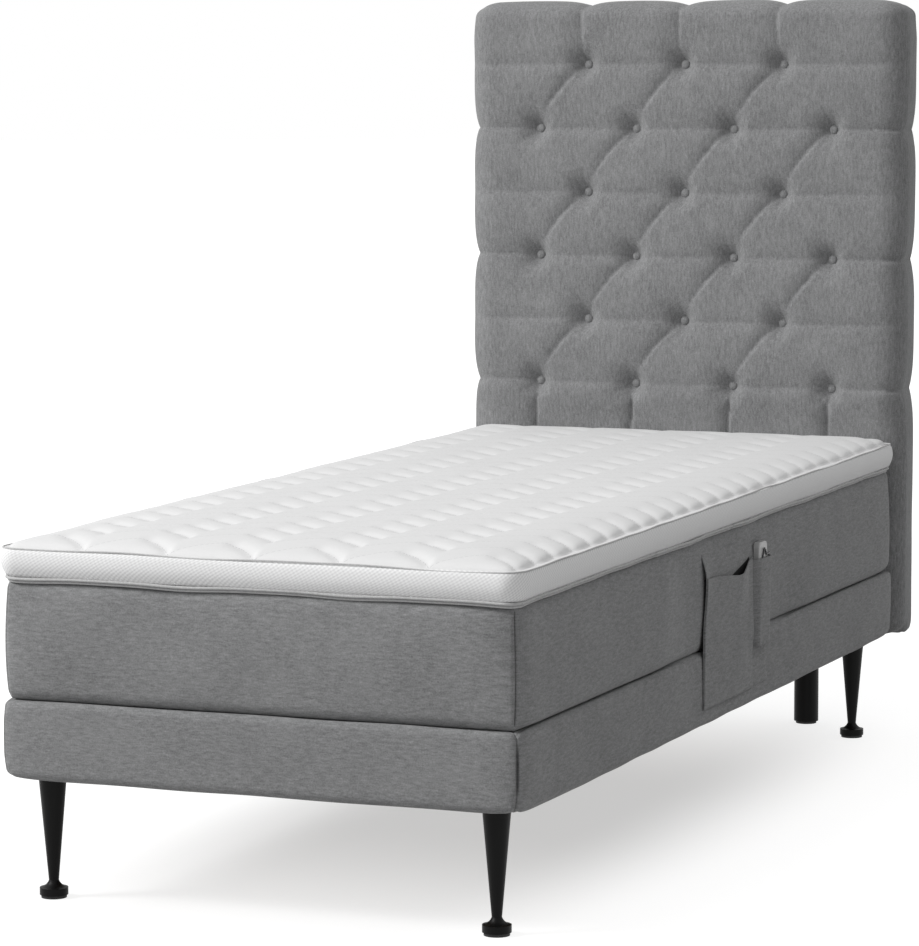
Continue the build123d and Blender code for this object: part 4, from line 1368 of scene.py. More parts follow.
@dataclass
class Mattress(SoftLayer):
    """The thick mattress in three parts.

    Args:
        radius: how round its edges are.
        crown: how far its sides swell.
        grow: how far they stand out of the plain box at most.
        rise: how much higher its top lies at the head than at the foot.
        tuck: how far a face falls back at a corner.
        tuck_reach: how far from the corner that is felt.
        seam_depth: how far a corner seam pulls in.
        pocket_side: how much more the side with the pocket stands out, at its ends and at the pocket.
        turn_reach: how far from the corner that side takes to stand out.
        fuller_below: how much more that side stands out near its lower edge, away from the pocket.
        step: widest spacing of its points.
        seam_lines: distances from a corner that get a line of points.
        uneven: its unevenness.
    """

    name = "mattress"
    fill = 0.9
    radius: Triple = (0.013, 0.013, 0.019)
    crown: float = 0.0065
    grow: float = 0.0090
    tuck: float = 0.0110
    tuck_reach: float = 0.027
    rise: float = 0.008
    seam_depth: float = 0.0016
    pocket_side: Pair = (0.0015, -0.0060)
    turn_reach: float = 0.026
    fuller_below: float = 0.0060
    step: float = 0.014
    seam_lines: Row = (0.0012, 0.0025, 0.004, 0.006)
    uneven: Uneven = Uneven(0.0012, 5, 0.2)

    def section(self, part: Part) -> None:
        """One part: a box with round edges whose sides swell between them. Where the pocket lies over it, and
        near its corner seams, its colour gets a painted shade, black under the pocket.

        Args:
            part: which part.
        """
        low, high = self.low, self.high
        near = np.array(self.seam_lines)
        x_extra, y_extra = ([*(low[axis] + near), *(high[axis] - near)] for axis in (0, 1))
        covered_low, covered_high = corner_of("pocket_back_panel")
        y_extra += [covered_low[1] - 0.0030, covered_low[1] - 0.0010]
        box, points, outward, share, at_cut = self.rounded_part(part, self.step * 0.8, x_extra, y_extra)
        raw = box.points
        from_side, from_end, _ = from_edges(raw, low, high)
        level = (raw[:, 2] - low[2]) / (high[2] - low[2])
        corner = np.hypot(from_side, from_end)
        flat = 1 - np.abs(outward[:, 2])
        uneven = self.uneven.at(raw)
        seam = self.seam_depth * np.exp(-((corner / 0.003) ** 2))
        from_corner = np.maximum(from_side, from_end)
        turned = 1 - np.exp(-from_corner / self.turn_reach)
        plain = self.tuck * (1 - np.exp(-from_corner / self.tuck_reach))
        most, held = self.pocket_side
        fuller = most + self.fuller_below * smooth_step(0.45, 0.34, raw[:, 2])
        pocket_side = turned * (self.tuck + side_extra(raw[:, 1], fuller, held))
        stand = plain + (pocket_side - plain) * np.clip(outward[:, 0], 0, 1)
        puff = self.crown * (swelling(level, 1.0) - 1) + self.grow - self.tuck + stand
        move = flat * (puff + uneven) * share - seam
        points = points + outward * move[:, None]
        points[:, 2] += self.rise * level * (raw[:, 1] - low[1]) / (high[1] - low[1])
        # Painted shade: the side is painted black where the pocket's panel covers it, for the shadowed gap
        # behind the panel's loose edge; elsewhere it darkens near the corner seams.
        beside = (raw[:, 1] > covered_low[1] - 0.002) & (raw[:, 1] < covered_high[1] - 0.02)
        covered = beside & (raw[:, 0] > high[0] - 0.02) & (raw[:, 2] < covered_high[2] - 0.045)
        hem = np.where(covered, 0.0, corner)
        self.put_part(part, Surface(points, box.quads), {SHADE_DISTANCE: hem}, at_cut)


@dataclass
class Topper(SoftLayer):
    """The quilted topper with piping round its band.

    Args:
        piping_finish: the cloth of the piping.
        quilt: its quilting.
        edge: height of its band's top.
        radius: how round its edges are.
        crown: how far the middle rises over that.
        crown_reach: how far from the edge the crown takes to rise by two thirds.
        rise: how much higher it lies at the head than at the foot.
        belly: height of the band's widest line, as a share.
        tuck: how far the band falls back at its bottom and at its top.
        grow: how far its widest line stands out of the plain box.
        step: widest spacing of its points.
        piping_radius: radius of the lower cords.
        uneven: the band's unevenness, which the piping shares.
    """

    name = "topper"
    fill = 0.7
    piping_finish: Finish
    quilt: Quilt
    edge: float = 0.585
    radius: Triple = (0.030, 0.030, 0.006)
    crown: float = 0.0205
    crown_reach: float = 0.045
    rise: float = 0.008
    belly: float = 0.62
    tuck: Pair = (0.015, 0.004)
    grow: float = 0.0080
    step: float = 0.0055
    piping_radius: float = 0.0025
    uneven: Uneven = Uneven(0.0012, 23, 0.3)

    def __post_init__(self) -> None:
        """Lowers the high corner to the band's top."""
        super().__post_init__()
        self.high[2] = self.edge

    def edge_swell(self, level: Array) -> Array:
        """How far out the band stands: it falls back from its belly with the square of the way
        below it and above it."""
        below = np.clip(1 - level / self.belly, 0, 1)
        above = np.clip((level - self.belly) / (1 - self.belly), 0, 1)
        return self.grow - self.tuck[0] * below**2 - self.tuck[1] * above**2

    def lift(self, y: Array) -> Array:
        """How much higher the topper lies than at the foot, in proportion to the way along."""
        return self.rise * (y - self.low[1]) / (self.high[1] - self.low[1])

    def section(self, part: Part) -> None:
        """One part: a box with round edges, whose top rises to a crown and carries the quilting, and its
        piping.

        Args:
            part: which part.
        """
        low, high = self.low, self.high
        box, points, outward, share, at_cut = self.rounded_part(part, self.step)
        raw = box.points
        inset = from_edges(raw, low, high)[:2].min(axis=0)
        level = (raw[:, 2] - low[2]) / (high[2] - low[2])
        top = np.clip(outward[:, 2], 0, 1) * (share > ON_SURFACE)
        at_top = raw[:, 2] > high[2] - TINY
        crown = self.crown * (1 - np.exp(-inset / self.crown_reach)) * at_top
        relief = self.quilt.relief(raw[:, 0], raw[:, 1]) * at_top
        upright = np.sqrt(np.clip(1 - outward[:, 2] ** 2, 0, 1))
        uneven = self.uneven.at(raw)
        side = upright * (self.edge_swell(level) + uneven) * share
        points = points + outward * side[:, None]
        points[:, 2] += crown - relief * np.clip(top * 1.3, 0, 1) + uneven * 0.6
        points[:, 2] += self.lift(raw[:, 1])
        values = {BAND: smooth_step(0.4, 0.6, upright)}
        self.put_part(part, Surface(points, box.quads), values, at_cut)
        self.piping(part)

    def outline(self, part: Part) -> list[tuple[Array, Array]]:
        """The lines that a part's piping follows round the band, in plan.

        Args:
            part: which part.

        Returns:
            For each stretch, its points and the outward direction at each.
        """
        low, high = self.low, self.high
        start, end = self.bend.span(part, low[1], high[1])
        radius = self.radius[0]
        turn = np.linspace(0, math.pi / 2, 9)
        straight = np.linspace(0, 1, max(3, int((end - start) / 0.02)))
        middle = (
            low[1] + radius if part is Part.FOOT else start, high[1] - radius if part is Part.HEAD else end,
        )
        side_y = middle[0] + straight * (middle[1] - middle[0])
        right = np.stack([np.full_like(side_y, high[0]), side_y], axis=1)
        right_out = np.tile([1.0, 0.0], (len(side_y), 1))
        left, left_out = right * [-1, 1], right_out * [-1, 1]
        if part is Part.MIDDLE:
            return [(right, right_out), (left, left_out)]
        sign = 1 if part is Part.HEAD else -1
        corner_y = middle[1] if part is Part.HEAD else middle[0]
        corner_out = np.stack([np.cos(turn), sign * np.sin(turn)], axis=1)
        corner = np.array([high[0] - radius, corner_y]) + radius * corner_out
        across_x = np.linspace(high[0] - radius, low[0] + radius, 48)[1:-1]
        across = np.stack([across_x, np.full_like(across_x, corner_y + sign * radius)], axis=1)
        across_out = np.tile([0.0, float(sign)], (len(across_x), 1))
        forward = slice(None) if part is Part.HEAD else slice(None, None, -1)
        line = [right[forward], corner[1:], across, (corner * [-1, 1])[::-1][:-1], left[forward][::-1]]
        out = [right_out[forward], corner_out[1:], across_out, (corner_out * [-1, 1])[::-1][:-1], left_out]
        return [(np.concatenate(line), np.concatenate(out))]

    def piping(self, part: Part) -> None:
        """The piping of one part: one cord at the band's top and two at its bottom, each a little wavy.

        Args:
            part: which part.
        """
        low, high = self.low, self.high
        rows = (
            (high[2] - 0.0016, -0.0018, 31, self.piping_radius * 0.6),
            (low[2] + 0.0042, 0.0008, 32, self.piping_radius), (low[2] - 0.0006, 0.0, 32, self.piping_radius),
        )
        tubes = []
        for line, out in self.outline(part):
            for height, shift, seed, radius in rows:
                flat = np.column_stack([line, np.full(len(line), height)])
                wave = Uneven(0.0011, seed, 0.16).at(flat * [1, 1, 0])
                outward = np.column_stack([out, np.zeros(len(out))])
                stand = self.edge_swell(np.full(len(line), (height - low[2]) / (high[2] - low[2])))
                stand = stand + self.uneven.at(flat)
                path = flat + outward * (stand + shift + radius * 0.2)[:, None]
                path[:, 2] += wave + self.lift(line[:, 1])
                up = np.tile([0.0, 0.0, 1.0], (len(line), 1))
                tubes.append(tube(path, outward, up, radius))
        surface = Surface.together(*tubes)
        piece = make_piece(f"topper_{part.value}_piping", surface, self.piping_finish.material())
        self.bend.apply(piece, part)


@dataclass
class Headboard:
    """The buttoned headboard: a padded front drawn in by covered buttons, and a lining at the back.

    Args:
        finish: its cloth.
        button_finish: the buttons' cloth.
        lining: the back's cloth.
        button_pitch: half the distance between two buttons in a row.
        row_pitch: from one row of buttons to the next.
        top_row: height of the highest row.
        rows: how many rows.
        front_radius: how round the front's edges are along each axis.
        back_radius: how round the back's upright edges are, at the sides and near the top.
        fill_depth: how far a button's seat lies behind the plain front.
        puff: how far the cushions between stand out of it.
        dimple: depth and reach of the hollow round a button.
        seat: radius of its level bottom.
        crease_depth: depth of a fold at a button.
        slash: bow, long reach and steep reach of the folds that run down to the left.
        hollow: the same of the soft hollows that run down to the right.
        hollow_depth: their depth.
        band_depth: depth of the level hollow along each row of buttons.
        side_swell: how far the sides swell towards the front.
        notch: how far a pleat draws the outline in.
        cover_line: height below which the mattress and topper hide the front.
        step: widest spacing of the front's points.
        button_radius: radius of a button.
        button_height: height of its dome.
        uneven: the cushion's unevenness.
        sag: that of the lining.
    """

    finish: Finish
    button_finish: Finish
    lining: Finish
    button_pitch: float = 0.1053
    row_pitch: float = 0.1312
    top_row: float = 1.352
    rows: int = 6
    front_radius: Triple = (0.055, 0.040, 0.028)
    back_radius: Pair = (0.006, 0.045)
    step: float = 0.0038
    fill_depth: float = 0.0235
    puff: float = 0.010
    dimple: Pair = (0.0315, 0.021)
    seat: float = 0.0085
    crease_depth: float = 0.019
    slash: Triple = (0.055, 0.017, 0.0014)
    hollow: Triple = (0.0, 0.03, 0.03)
    hollow_depth: float = 0.0055
    band_depth: float = 0.0085
    side_swell: float = 0.007
    notch: float = 0.0115
    cover_line: float = 0.60
    button_radius: float = 0.0100
    button_height: float = 0.0066
    uneven: Uneven = Uneven(0.0010, 41, 0.13)
    sag: Uneven = Uneven(0.0006, 8, 0.2)

    def buttons(self) -> Array:
        """Places of the buttons across and up: odd rows hold three, and even rows four."""
        places = []
        for row in range(self.rows):
            steps = (-2, 0, 2) if row % 2 == 0 else (-3, -1, 1, 3)
            height = self.top_row - row * self.row_pitch
            places += [(step * self.button_pitch, height) for step in steps]
        return np.array(places)

    def build(self) -> None:
        """Builds the cushion, its buttons and the lining."""
        self.low, self.high = corner_of("headboard_cushion")
        self.cushion()
        self.button_caps()
        self.back_lining()

    def neighbour_folds(self, x: Array, z: Array, sign: int, *shape: float) -> Array:
        """Depth of the folds that run down and aside from each button to its neighbour.

        Args:
            x: places across.
            z: places up.
            sign: -1 for the folds that run to the left, 1 for those to the right.
            shape: bow, wide and steep of each fold.

        Returns:
            The depth at each place, from 0 to 1.
        """
        folds = []
        places = {(round(a, 4), round(b, 4)) for a, b in self.buttons()}
        for a, b in self.buttons():
            end = (round(a + sign * self.button_pitch, 4), round(b - self.row_pitch, 4))
            if end in places:
                folds.append(self.fold(x, z, (a, b), end, *shape))
        return np.max(folds, axis=0)

    def fold(
        self, x: Array, z: Array, top: tuple, bottom: tuple, bow: float, wide: float, steep: float
    ) -> Array:
        """Depth of one fold between two points: an exponential of the distance across it, wide on one
        side and steep on the other, deepest at its two ends.

        Args:
            x: places across.
            z: places up.
            top: its upper end.
            bottom: its lower end.
            bow: how far its middle bows to the upper left, as a share of its length.
            wide: reach of its long side.
            steep: reach of its short side.

        Returns:
            The depth at each place, from 0 to 1.
        """
        line = np.array(bottom) - np.array(top)
        length = float(np.hypot(*line))
        ux, uz = line / length
        along = ((x - top[0]) * ux + (z - top[1]) * uz) / length
        across = (x - top[0]) * uz - (z - top[1]) * ux
        across = across - bow * length * 4 * np.clip(along, 0, 1) * (1 - np.clip(along, 0, 1))
        reach = np.where(across > 0, wide, steep)
        beyond = np.maximum(np.maximum(-along, along - 1), 0) * length
        gap = np.sqrt(across**2 + 0.0008**2)
        profile = np.exp(-gap / reach) * np.exp(-((beyond / 0.010) ** 2))
        down = np.clip(along, 0, 1)
        ends = 0.42 + 0.58 * (1 - down) ** 2 + 0.2 * down**4
        return profile * ends

    def pleats(self, x: Array, z: Array) -> Array:
        """Depth of the pleats from the outer buttons to the edges: up from the top row, down from the
        bottom row, and out to the sides from every second row.

        Args:
            x: places across.
            z: places up.

        Returns:
            The depth at each place, from 0 to 1.
        """
        spots = self.buttons()
        folds = []
        for a, b in spots[:3]:
            folds.append(self.fold(x, z, (a - 0.002, self.high[2] + 0.03), (a, b), 0.035, 0.024, 0.0016))
        for a, b in spots[-4:]:
            folds.append(self.fold(x, z, (a, b), (a - 0.012, self.low[2] - 0.03), 0.01, 0.018, 0.0016))
        for row in range(1, self.rows, 2):
            height = self.top_row - row * self.row_pitch
            for sign in (-1, 1):
                inner = (sign * 3 * self.button_pitch, height)
                outer = (sign * (self.high[0] + 0.03), height - 0.002)
                first, last = (outer, inner) if sign < 0 else (inner, outer)
                folds.append(0.9 * self.fold(x, z, last, first, 0.0, 0.026, 0.0020))
        return np.max(folds, axis=0)

    def dimples(self, x: Array, z: Array) -> Array:
        """Depth round the buttons: it falls with the distance from a button's seat to the power 1.2,
        with short wrinkles that fan out.

        Args:
            x: places across.
            z: places up.

        Returns:
            The depth at each place, about 1 at a button.
        """
        depth = np.zeros_like(x)
        for number, (a, b) in enumerate(self.buttons()):
            dx, dz = x - a, z - b
            away = np.hypot(dx, dz)
            angle = np.arctan2(dz, dx)
            fan = 0.10 * np.sin(11 * angle + number) + 0.07 * np.sin(17 * angle + 2.3 * number)
            reach = self.dimple[1] * (1 + 0.34 * np.cos(angle - math.radians(148)))
            wrinkle = 1 + fan * smooth_step(0.010, 0.022, away) * np.exp(-away / 0.04)
            out = np.clip(away - self.seat, 0, None)
            depth = np.maximum(depth, np.exp(-((out / reach) ** 1.2)) * wrinkle)
        return depth

    def relief(self, x: Array, z: Array) -> Array:
        """How far the front lies behind its highest level: dimples, folds and pleats joined as the
        cube root of the sum of their cubes, over a slow swell between the rows.

        Args:
            x: places across.
            z: places up.

        Returns:
            The distance at each place.
        """
        rows = np.mod((self.top_row - z) / self.row_pitch, 1.0)
        band = np.exp(-rows * self.row_pitch / 0.014) + np.exp(-(1 - rows) * self.row_pitch / 0.024)
        inside = smooth_step(0.0, 0.1, self.high[0] - np.abs(x))
        parts = [
            self.dimple[0] * self.dimples(x, z),
            self.crease_depth * self.neighbour_folds(x, z, -1, *self.slash),
            self.crease_depth * self.pleats(x, z), self.band_depth * band * (0.4 + 0.6 * inside),
            self.hollow_depth * self.neighbour_folds(x, z, 1, *self.hollow),
        ]
        return np.sum([np.clip(p, 0, None) ** 3 for p in parts], axis=0) ** (1 / 3)

    def cushion(self) -> None:
        """The padded front and sides: a box with round edges, its front drawn in by the buttons and its
        edge scalloped by the pleats, and its back open for the lining."""
        low, high = self.low, self.high
        front_turn, back_turn = self.front_radius, self.back_radius
        xs = edge_spaced(low[0], high[0], self.step, back_turn[0])
        ys = edge_spaced(low[1], high[1], 0.012, back_turn[0], extra=low[1] + np.arange(8) * 0.0055)
        low_zs = edge_spaced(low[2], self.cover_line, 0.016, 0.0, extra=low[2] + np.arange(6) * 0.006)
        zs = np.unique(np.concatenate([low_zs, edge_spaced(self.cover_line, high[2], self.step)]))
        core_low, core_high = corner_of("headboard_core")
        box = open_box(xs, ys, zs, core_low, core_high)
        raw = box.points
        depth = (raw[:, 1] - low[1]) / (high[1] - low[1])
        front = smooth_step(0.62, 0.38, depth)
        near_top = smooth_step(high[2] - 0.08, high[2] - 0.02, raw[:, 2])
        behind_x = back_turn[0] + (back_turn[1] - back_turn[0]) * near_top
        turn = np.stack([
            behind_x + (front_turn[0] - behind_x) * front,
            back_turn[0] + (front_turn[1] - back_turn[0]) * front, np.full(len(raw), front_turn[2]),
        ], axis=1)
        points, outward, share = rounded(raw, low, high, turn)
        ahead = np.clip(-outward[:, 1], 0, 1)
        clear = smooth_step(self.cover_line + 0.02, self.cover_line + 0.10, raw[:, 2])
        points[:, 1] += (self.relief(raw[:, 0], raw[:, 2]) - self.puff * clear) * ahead
        around = outward * [1, 0, 1]
        swell = self.side_swell * (1 - depth**2) - 0.001
        points += around * (swell - self.scallop(raw))[:, None]
        uneven = self.uneven.at(raw) * share * (1 - 0.7 * depth)
        points += outward * uneven[:, None]
        edge = np.minimum(raw[:, 0] - core_low[0], core_high[0] - raw[:, 0])
        edge = np.minimum(edge, core_high[2] - raw[:, 2])
        sunk = smooth_step(0.0, 0.012, edge) * (raw[:, 1] > high[1] - TINY)
        points[:, 1] -= sunk * (high[1] - core_high[1] + 0.0006)
        surface = Surface(points, box.quads)
        piece = make_piece("headboard_upholstery", surface, self.finish.material(), seamless(surface))
        stand_for(piece, "headboard_cover", "headboard_cushion")

    def scallop(self, raw: Array) -> Array:
        """How far the outline draws in where a pleat goes over it: an exponential of the distance from
        each pleat, and a little more towards the top corners.

        Args:
            raw: points of the plain box.

        Returns:
            The distance at each point.
        """
        high = self.high
        rows = np.array([self.top_row - row * self.row_pitch for row in range(1, self.rows, 2)])
        beside = np.min(np.abs(raw[:, 2][:, None] - rows[None]), axis=1)
        columns = np.array([-2, 0, 2]) * self.button_pitch
        above = np.min(np.abs(raw[:, 0][:, None] - columns[None]), axis=1)
        at_side = smooth_step(0.08, 0.0, high[0] - np.abs(raw[:, 0]))
        at_top = smooth_step(0.08, 0.0, high[2] - raw[:, 2])
        ends = 0.5 * np.clip((np.abs(raw[:, 0]) - 0.30) / (high[0] - 0.30), 0, 1) ** 2
        return self.notch * (np.exp(-beside / 0.024) * at_side + (np.exp(-above / 0.024) + ends) * at_top)

    def button_caps(self) -> None:
        """The covered buttons: low domes whose height is a circle's to the power 0.85, with a few wrinkles
        at the rim."""
        turn = np.linspace(0, 2 * math.pi, 28, endpoint=False)
        share = np.linspace(0, 1, 9)
        caps = []
        for number, (a, b) in enumerate(self.buttons()):
            wide = np.concatenate([share, [1.04, 1.0, 0.5, 0.0]])
            rise = np.concatenate([np.sqrt(np.clip(1 - share**2, 0, 1)) ** 0.85, [-0.12, -0.4, -0.5, -0.5]])
            uneven = 1 + 0.012 * np.sin(11 * turn + number)
            radius = self.button_radius * wide[:, None] * uneven[None]
            grid = np.empty((len(wide), len(turn), 3))
            grid[..., 0] = a + radius * np.cos(turn)
            grid[..., 2] = b + radius * np.sin(turn)
            grid[..., 1] = self.low[1] + self.fill_depth - self.button_height * rise[:, None]
            caps.append(Surface.grid(grid, wrap_columns=True).welded())
        surface = Surface.together(*caps)
        piece = make_piece(
            "headboard_covered_buttons", surface, self.button_finish.material(), seamless(surface)
        )
        stand_for(piece, "button_cover", "headboard_buttons")

    def back_lining(self) -> None:
        """The lining, a flat cloth tacked over the back: it sags in by a little between its edges."""
        low, high = corner_of("headboard_back_cloth")
        xs, zs = np.linspace(low[0], high[0], 60), np.linspace(low[2], high[2], 80)
        x, z = np.meshgrid(xs, zs, indexing="ij")
        inset = np.min([x - low[0], high[0] - x, z - low[2], high[2] - z], axis=0)
        sag = self.sag.at(np.stack([x, z * 0, z], axis=-1)) * smooth_step(0, 0.03, inset)
        outer = np.stack([x, high[1] + 0.0008 + sag, z], axis=-1)
        inner = outer - [0, 0.0012, 0]
        surface = shell_between(inner, outer)
        hem = np.minimum(surface.points[:, 0] - low[0], high[0] - surface.points[:, 0])
        piece = make_piece("headboard_back_lining", surface, self.lining.material(), {SHADE_DISTANCE: hem})
        stand_for(piece, "back_cloth", "headboard_back_cloth")


@dataclass
class SidePocket:
    """The cloth pocket on the bed's right side: a hanging panel, a wide pouch and the handset's sleeve.

    Args:
        finish: its cloth.
        cloth: thickness of the cloth.
        foot_shift: how far its loose edge lies nearer to the foot than the plain panel's.
        stand_off: how far the pouch's mouth stands off the panel.
        lift: how far the whole pocket stands off the plain bed.
        mouth_sides: places along the pouch's mouth, as shares of its length.
        mouth_heights: its height at each, in millimetres.
        dark_places: places along the bed between which the panel gets a painted shade, black inside the
            pouch.
        dark_heights: height in millimetres below which it is, at its edge twice and at each place.
        step: widest spacing of the points.
        rise_lines: distances from the sleeve's start that get a line of points, in millimetres.
        pouch_wrinkles: the pouch's unevenness.
        sleeve_wrinkles: the sleeve's.
    """

    finish: Finish
    cloth: float = 0.0018
    step: float = 0.006
    foot_shift: float = 0.008
    stand_off: float = 0.0115
    lift: float = 0.0012
    mouth_sides: Row = (0.0, 0.28, 0.51, 0.66, 0.72, 0.84, 1.0)
    mouth_heights: Row = (464, 461, 455, 451, 452, 461, 473)
    dark_places: Row = (-0.10, -0.042, 0.025, 0.046, 0.047)
    dark_heights: Row = (100, 440, 440, 453, 467, 473, 100)
    rise_lines: Row = (1, 2, 3, 4.5, 7, 10, 14)
    pouch_wrinkles: Uneven = Uneven(0.0009, 61, 0.09)
    sleeve_wrinkles: Uneven = Uneven(0.0005, 77, 0.07)

    def build(self) -> None:
        """Builds the three cloths."""
        self.panel()
        self.pouch()
        self.sleeve()

    def shell(self, x: Array, y: Array, z: Array) -> Surface:
        """A cloth whose outer side is that grid."""
        outer = np.stack([x, y, z], axis=-1)
        return shell_between(outer, outer - [self.cloth, 0, 0])

    def place(
        self, name: str, node: str, surface: Surface, values: dict[str, Array], flat: tuple, held: str
    ) -> None:
        """Puts one cloth in the scene in place of a CAD node.

        Args:
            name: the piece's name.
            node: the CAD node that it replaces.
            surface: its surface.
            values: what its points carry.
            flat: its length and height when cut; not used.
            held: how it is held; not used.
        """
        piece = make_piece(name, surface, self.finish.material(), values)
        stand_for(piece, "pocket_cloth", node)

    def lines(self, low: float, high: float) -> Array:
        """Lines from one edge of a cloth to the other."""
        return np.linspace(low, high, max(4, math.ceil((high - low) / self.step) + 1))

    @staticmethod
    def curl(along: Array, below: Array) -> Array:
        """How far the pocket's edge towards the foot stands off the mattress: it grows to its most
        42 mm below the panel's top, falls to about a sixth by 150 mm, ends by 250 mm and fades along the bed.

        Args:
            along: distance from that edge.
            below: distance below the panel's top.

        Returns:
            The stand-off.
        """
        most = np.clip(below / 0.042, 0, 1) ** 0.8 * (1 - 0.85 * smooth_step(0.05, 0.15, below))
        return 0.0062 * np.exp(-along / 0.03) * most * smooth_step(0.250, 0.15, below)

    def panel(self) -> None:
        """The back panel. Its other edges lie flat on the mattress and the base, and inside the pouch it gets
        a painted shade, black, for the hollow where no light gets in."""
        low, high = corner_of("pocket_back_panel")
        low[1] -= self.foot_shift
        y, z = np.meshgrid(self.lines(low[1], high[1]), self.lines(low[2], high[2]), indexing="ij")
        free = np.min([high[1] - y, high[2] - z, z - low[2]], axis=0)
        settle = 0.0016 * smooth_step(0.020, 0.0, free) + 0.0040 * smooth_step(0.040, 0.0, high[2] - z)
        x = high[0] + self.lift - settle + self.curl(y - low[1], high[2] - z)
        surface = self.shell(x, y, z)
        edge = low[1] + 0.001
        places = [edge, edge + 0.004, *self.dark_places]
        # Painted shade: the panel is painted black below the listed heights, inside the pouch.
        hem = surface.points[:, 2] - np.interp(surface.points[:, 1], places, self.dark_heights) * 1e-3
        flat = (high[1] - low[1], high[2] - low[2])
        self.place("pocket_hanging_panel", "pocket_back_panel", surface, {SHADE_DISTANCE: hem}, flat, "hung")

    def pouch(self) -> None:
        """The pouch. It swells from its edge towards the foot and comes back at the sleeve, where its rim
        stands a little off the panel. Its mouth is lowest before that and climbs to the sleeve."""
        low, high = corner_of("pocket_pouch")
        low[1] -= self.foot_shift
        _, panel_high = corner_of("pocket_back_panel")
        long = high[1] - low[1]
        side, share = np.meshgrid(self.lines(0.0, long) / long, np.linspace(0, 1, 52), indexing="ij")
        mouth = np.interp(side, self.mouth_sides, self.mouth_heights) * 1e-3
        z = low[2] + share * (mouth - low[2])
        y = low[1] + side * (self.crease(z) - low[1])
        fall = np.clip((side - 0.70) / 0.30, 0, 1) ** 1.6
        hump = np.where(side < 0.70, (side / 0.70) ** 1.4, 1 - fall)
        bulge = self.stand_off * hump * (0.20 + 0.80 * smooth_step(0.25, 1.05, share))
        bulge = np.maximum(bulge, self.rim(z) * smooth_step(0.70, 1.0, side))
        wrinkle = self.pouch_wrinkles.at(np.stack([y * 0, y, z], axis=-1)) * np.sqrt(hump)
        hem = 0.0010 * np.exp(-((z - low[2]) / 0.004) ** 2)
        x = low[0] + self.lift + self.cloth - hem + bulge + wrinkle + self.curl(y - low[1], panel_high[2] - z)
        surface = self.shell(x, y, z)
        flat = (long + 0.02, high[2] - low[2])
        self.place("pocket_front_pouch", "pocket_pouch", surface, seamless(surface), flat, "gathered")

    @staticmethod
    def rim(z: Array) -> Array:
        """How far the pouch stands off the panel where it meets the sleeve."""
        return 0.0045 * smooth_step(0.285, 0.345, z)

    @staticmethod
    def crease(z: Array) -> Array:
        """Where the pouch and the sleeve are sewn down side by side: it leans to the foot by 18 mm
        between its bottom and its top."""
        return 0.0655 - 0.018 * smooth_step(0.24, 0.47, z)

    def sleeve(self) -> None:
        """The handset's sleeve: it rises beside the pouch, lies level over the handset, and falls
        slowly to its far edge. Its lower end stands a little off the panel."""
        low, high = corner_of("handset_sleeve")
        near = np.array(self.rise_lines) * 1e-3
        lines = np.unique(np.concatenate([self.lines(0.0, high[1] - low[1]), near])) / (high[1] - low[1])
        side, z = np.meshgrid(lines, self.lines(low[2], high[2]), indexing="ij")
        start_y = self.crease(z)
        y = start_y + side * (high[1] - start_y)
        start = np.sin(math.pi / 2 * np.clip((y - start_y) / (0.070 - start_y), 0, 1)) ** 0.9
        fall = smooth_step(high[1], high[1] - 0.036, y)
        deep = (high[0] - low[0] - self.cloth - 0.0012) * (0.84 + 0.16 * smooth_step(low[2], low[2] + 0.1, z))
        wrinkle = self.sleeve_wrinkles.at(np.stack([y * 0, y, z], axis=-1)) * start * fall
        lip = 0.0012 * smooth_step(0.008, 0.0, z - low[2])
        rim = np.maximum(self.rim(z) - 0.0008, 0) * (1 - start)
        x = low[0] + self.lift * (1 - start * fall) + self.cloth + rim + deep * start * fall + wrinkle + lip
        surface = self.shell(x, y, z)
        flat = (high[1] - low[1] + 0.03, high[2] - low[2])
        self.place("handset_cloth_sleeve", "handset_sleeve", surface, seamless(surface), flat, "gathered")


LEGS = ("leg_foot_left", "leg_foot_right", "leg_head_left", "leg_head_right", "headboard_legs")
PAINTED = (
    "left_rail", "right_rail", "back_motor_tube", "leg_motor_tube", "back_brackets", "thigh_brackets",
    "calf_brackets", "calf_links", "back_lever", "thigh_lever",
)
BRIGHT = ("frame_hinge_pins", "knee_pins", "back_motor_rod", "leg_motor_rod", "headboard_bolts")
HOUSINGS = ("back_motor", "leg_motor", "control_box")
KEYS = tuple(f"handset_key_{number}" for number in range(1, 5))
BOARDS = (*(f"{name}_board" for name in PANELS.values()), "corner_blocks")
DECKS = ("calf_deck", "thigh_deck", "seat_deck", "back_deck")


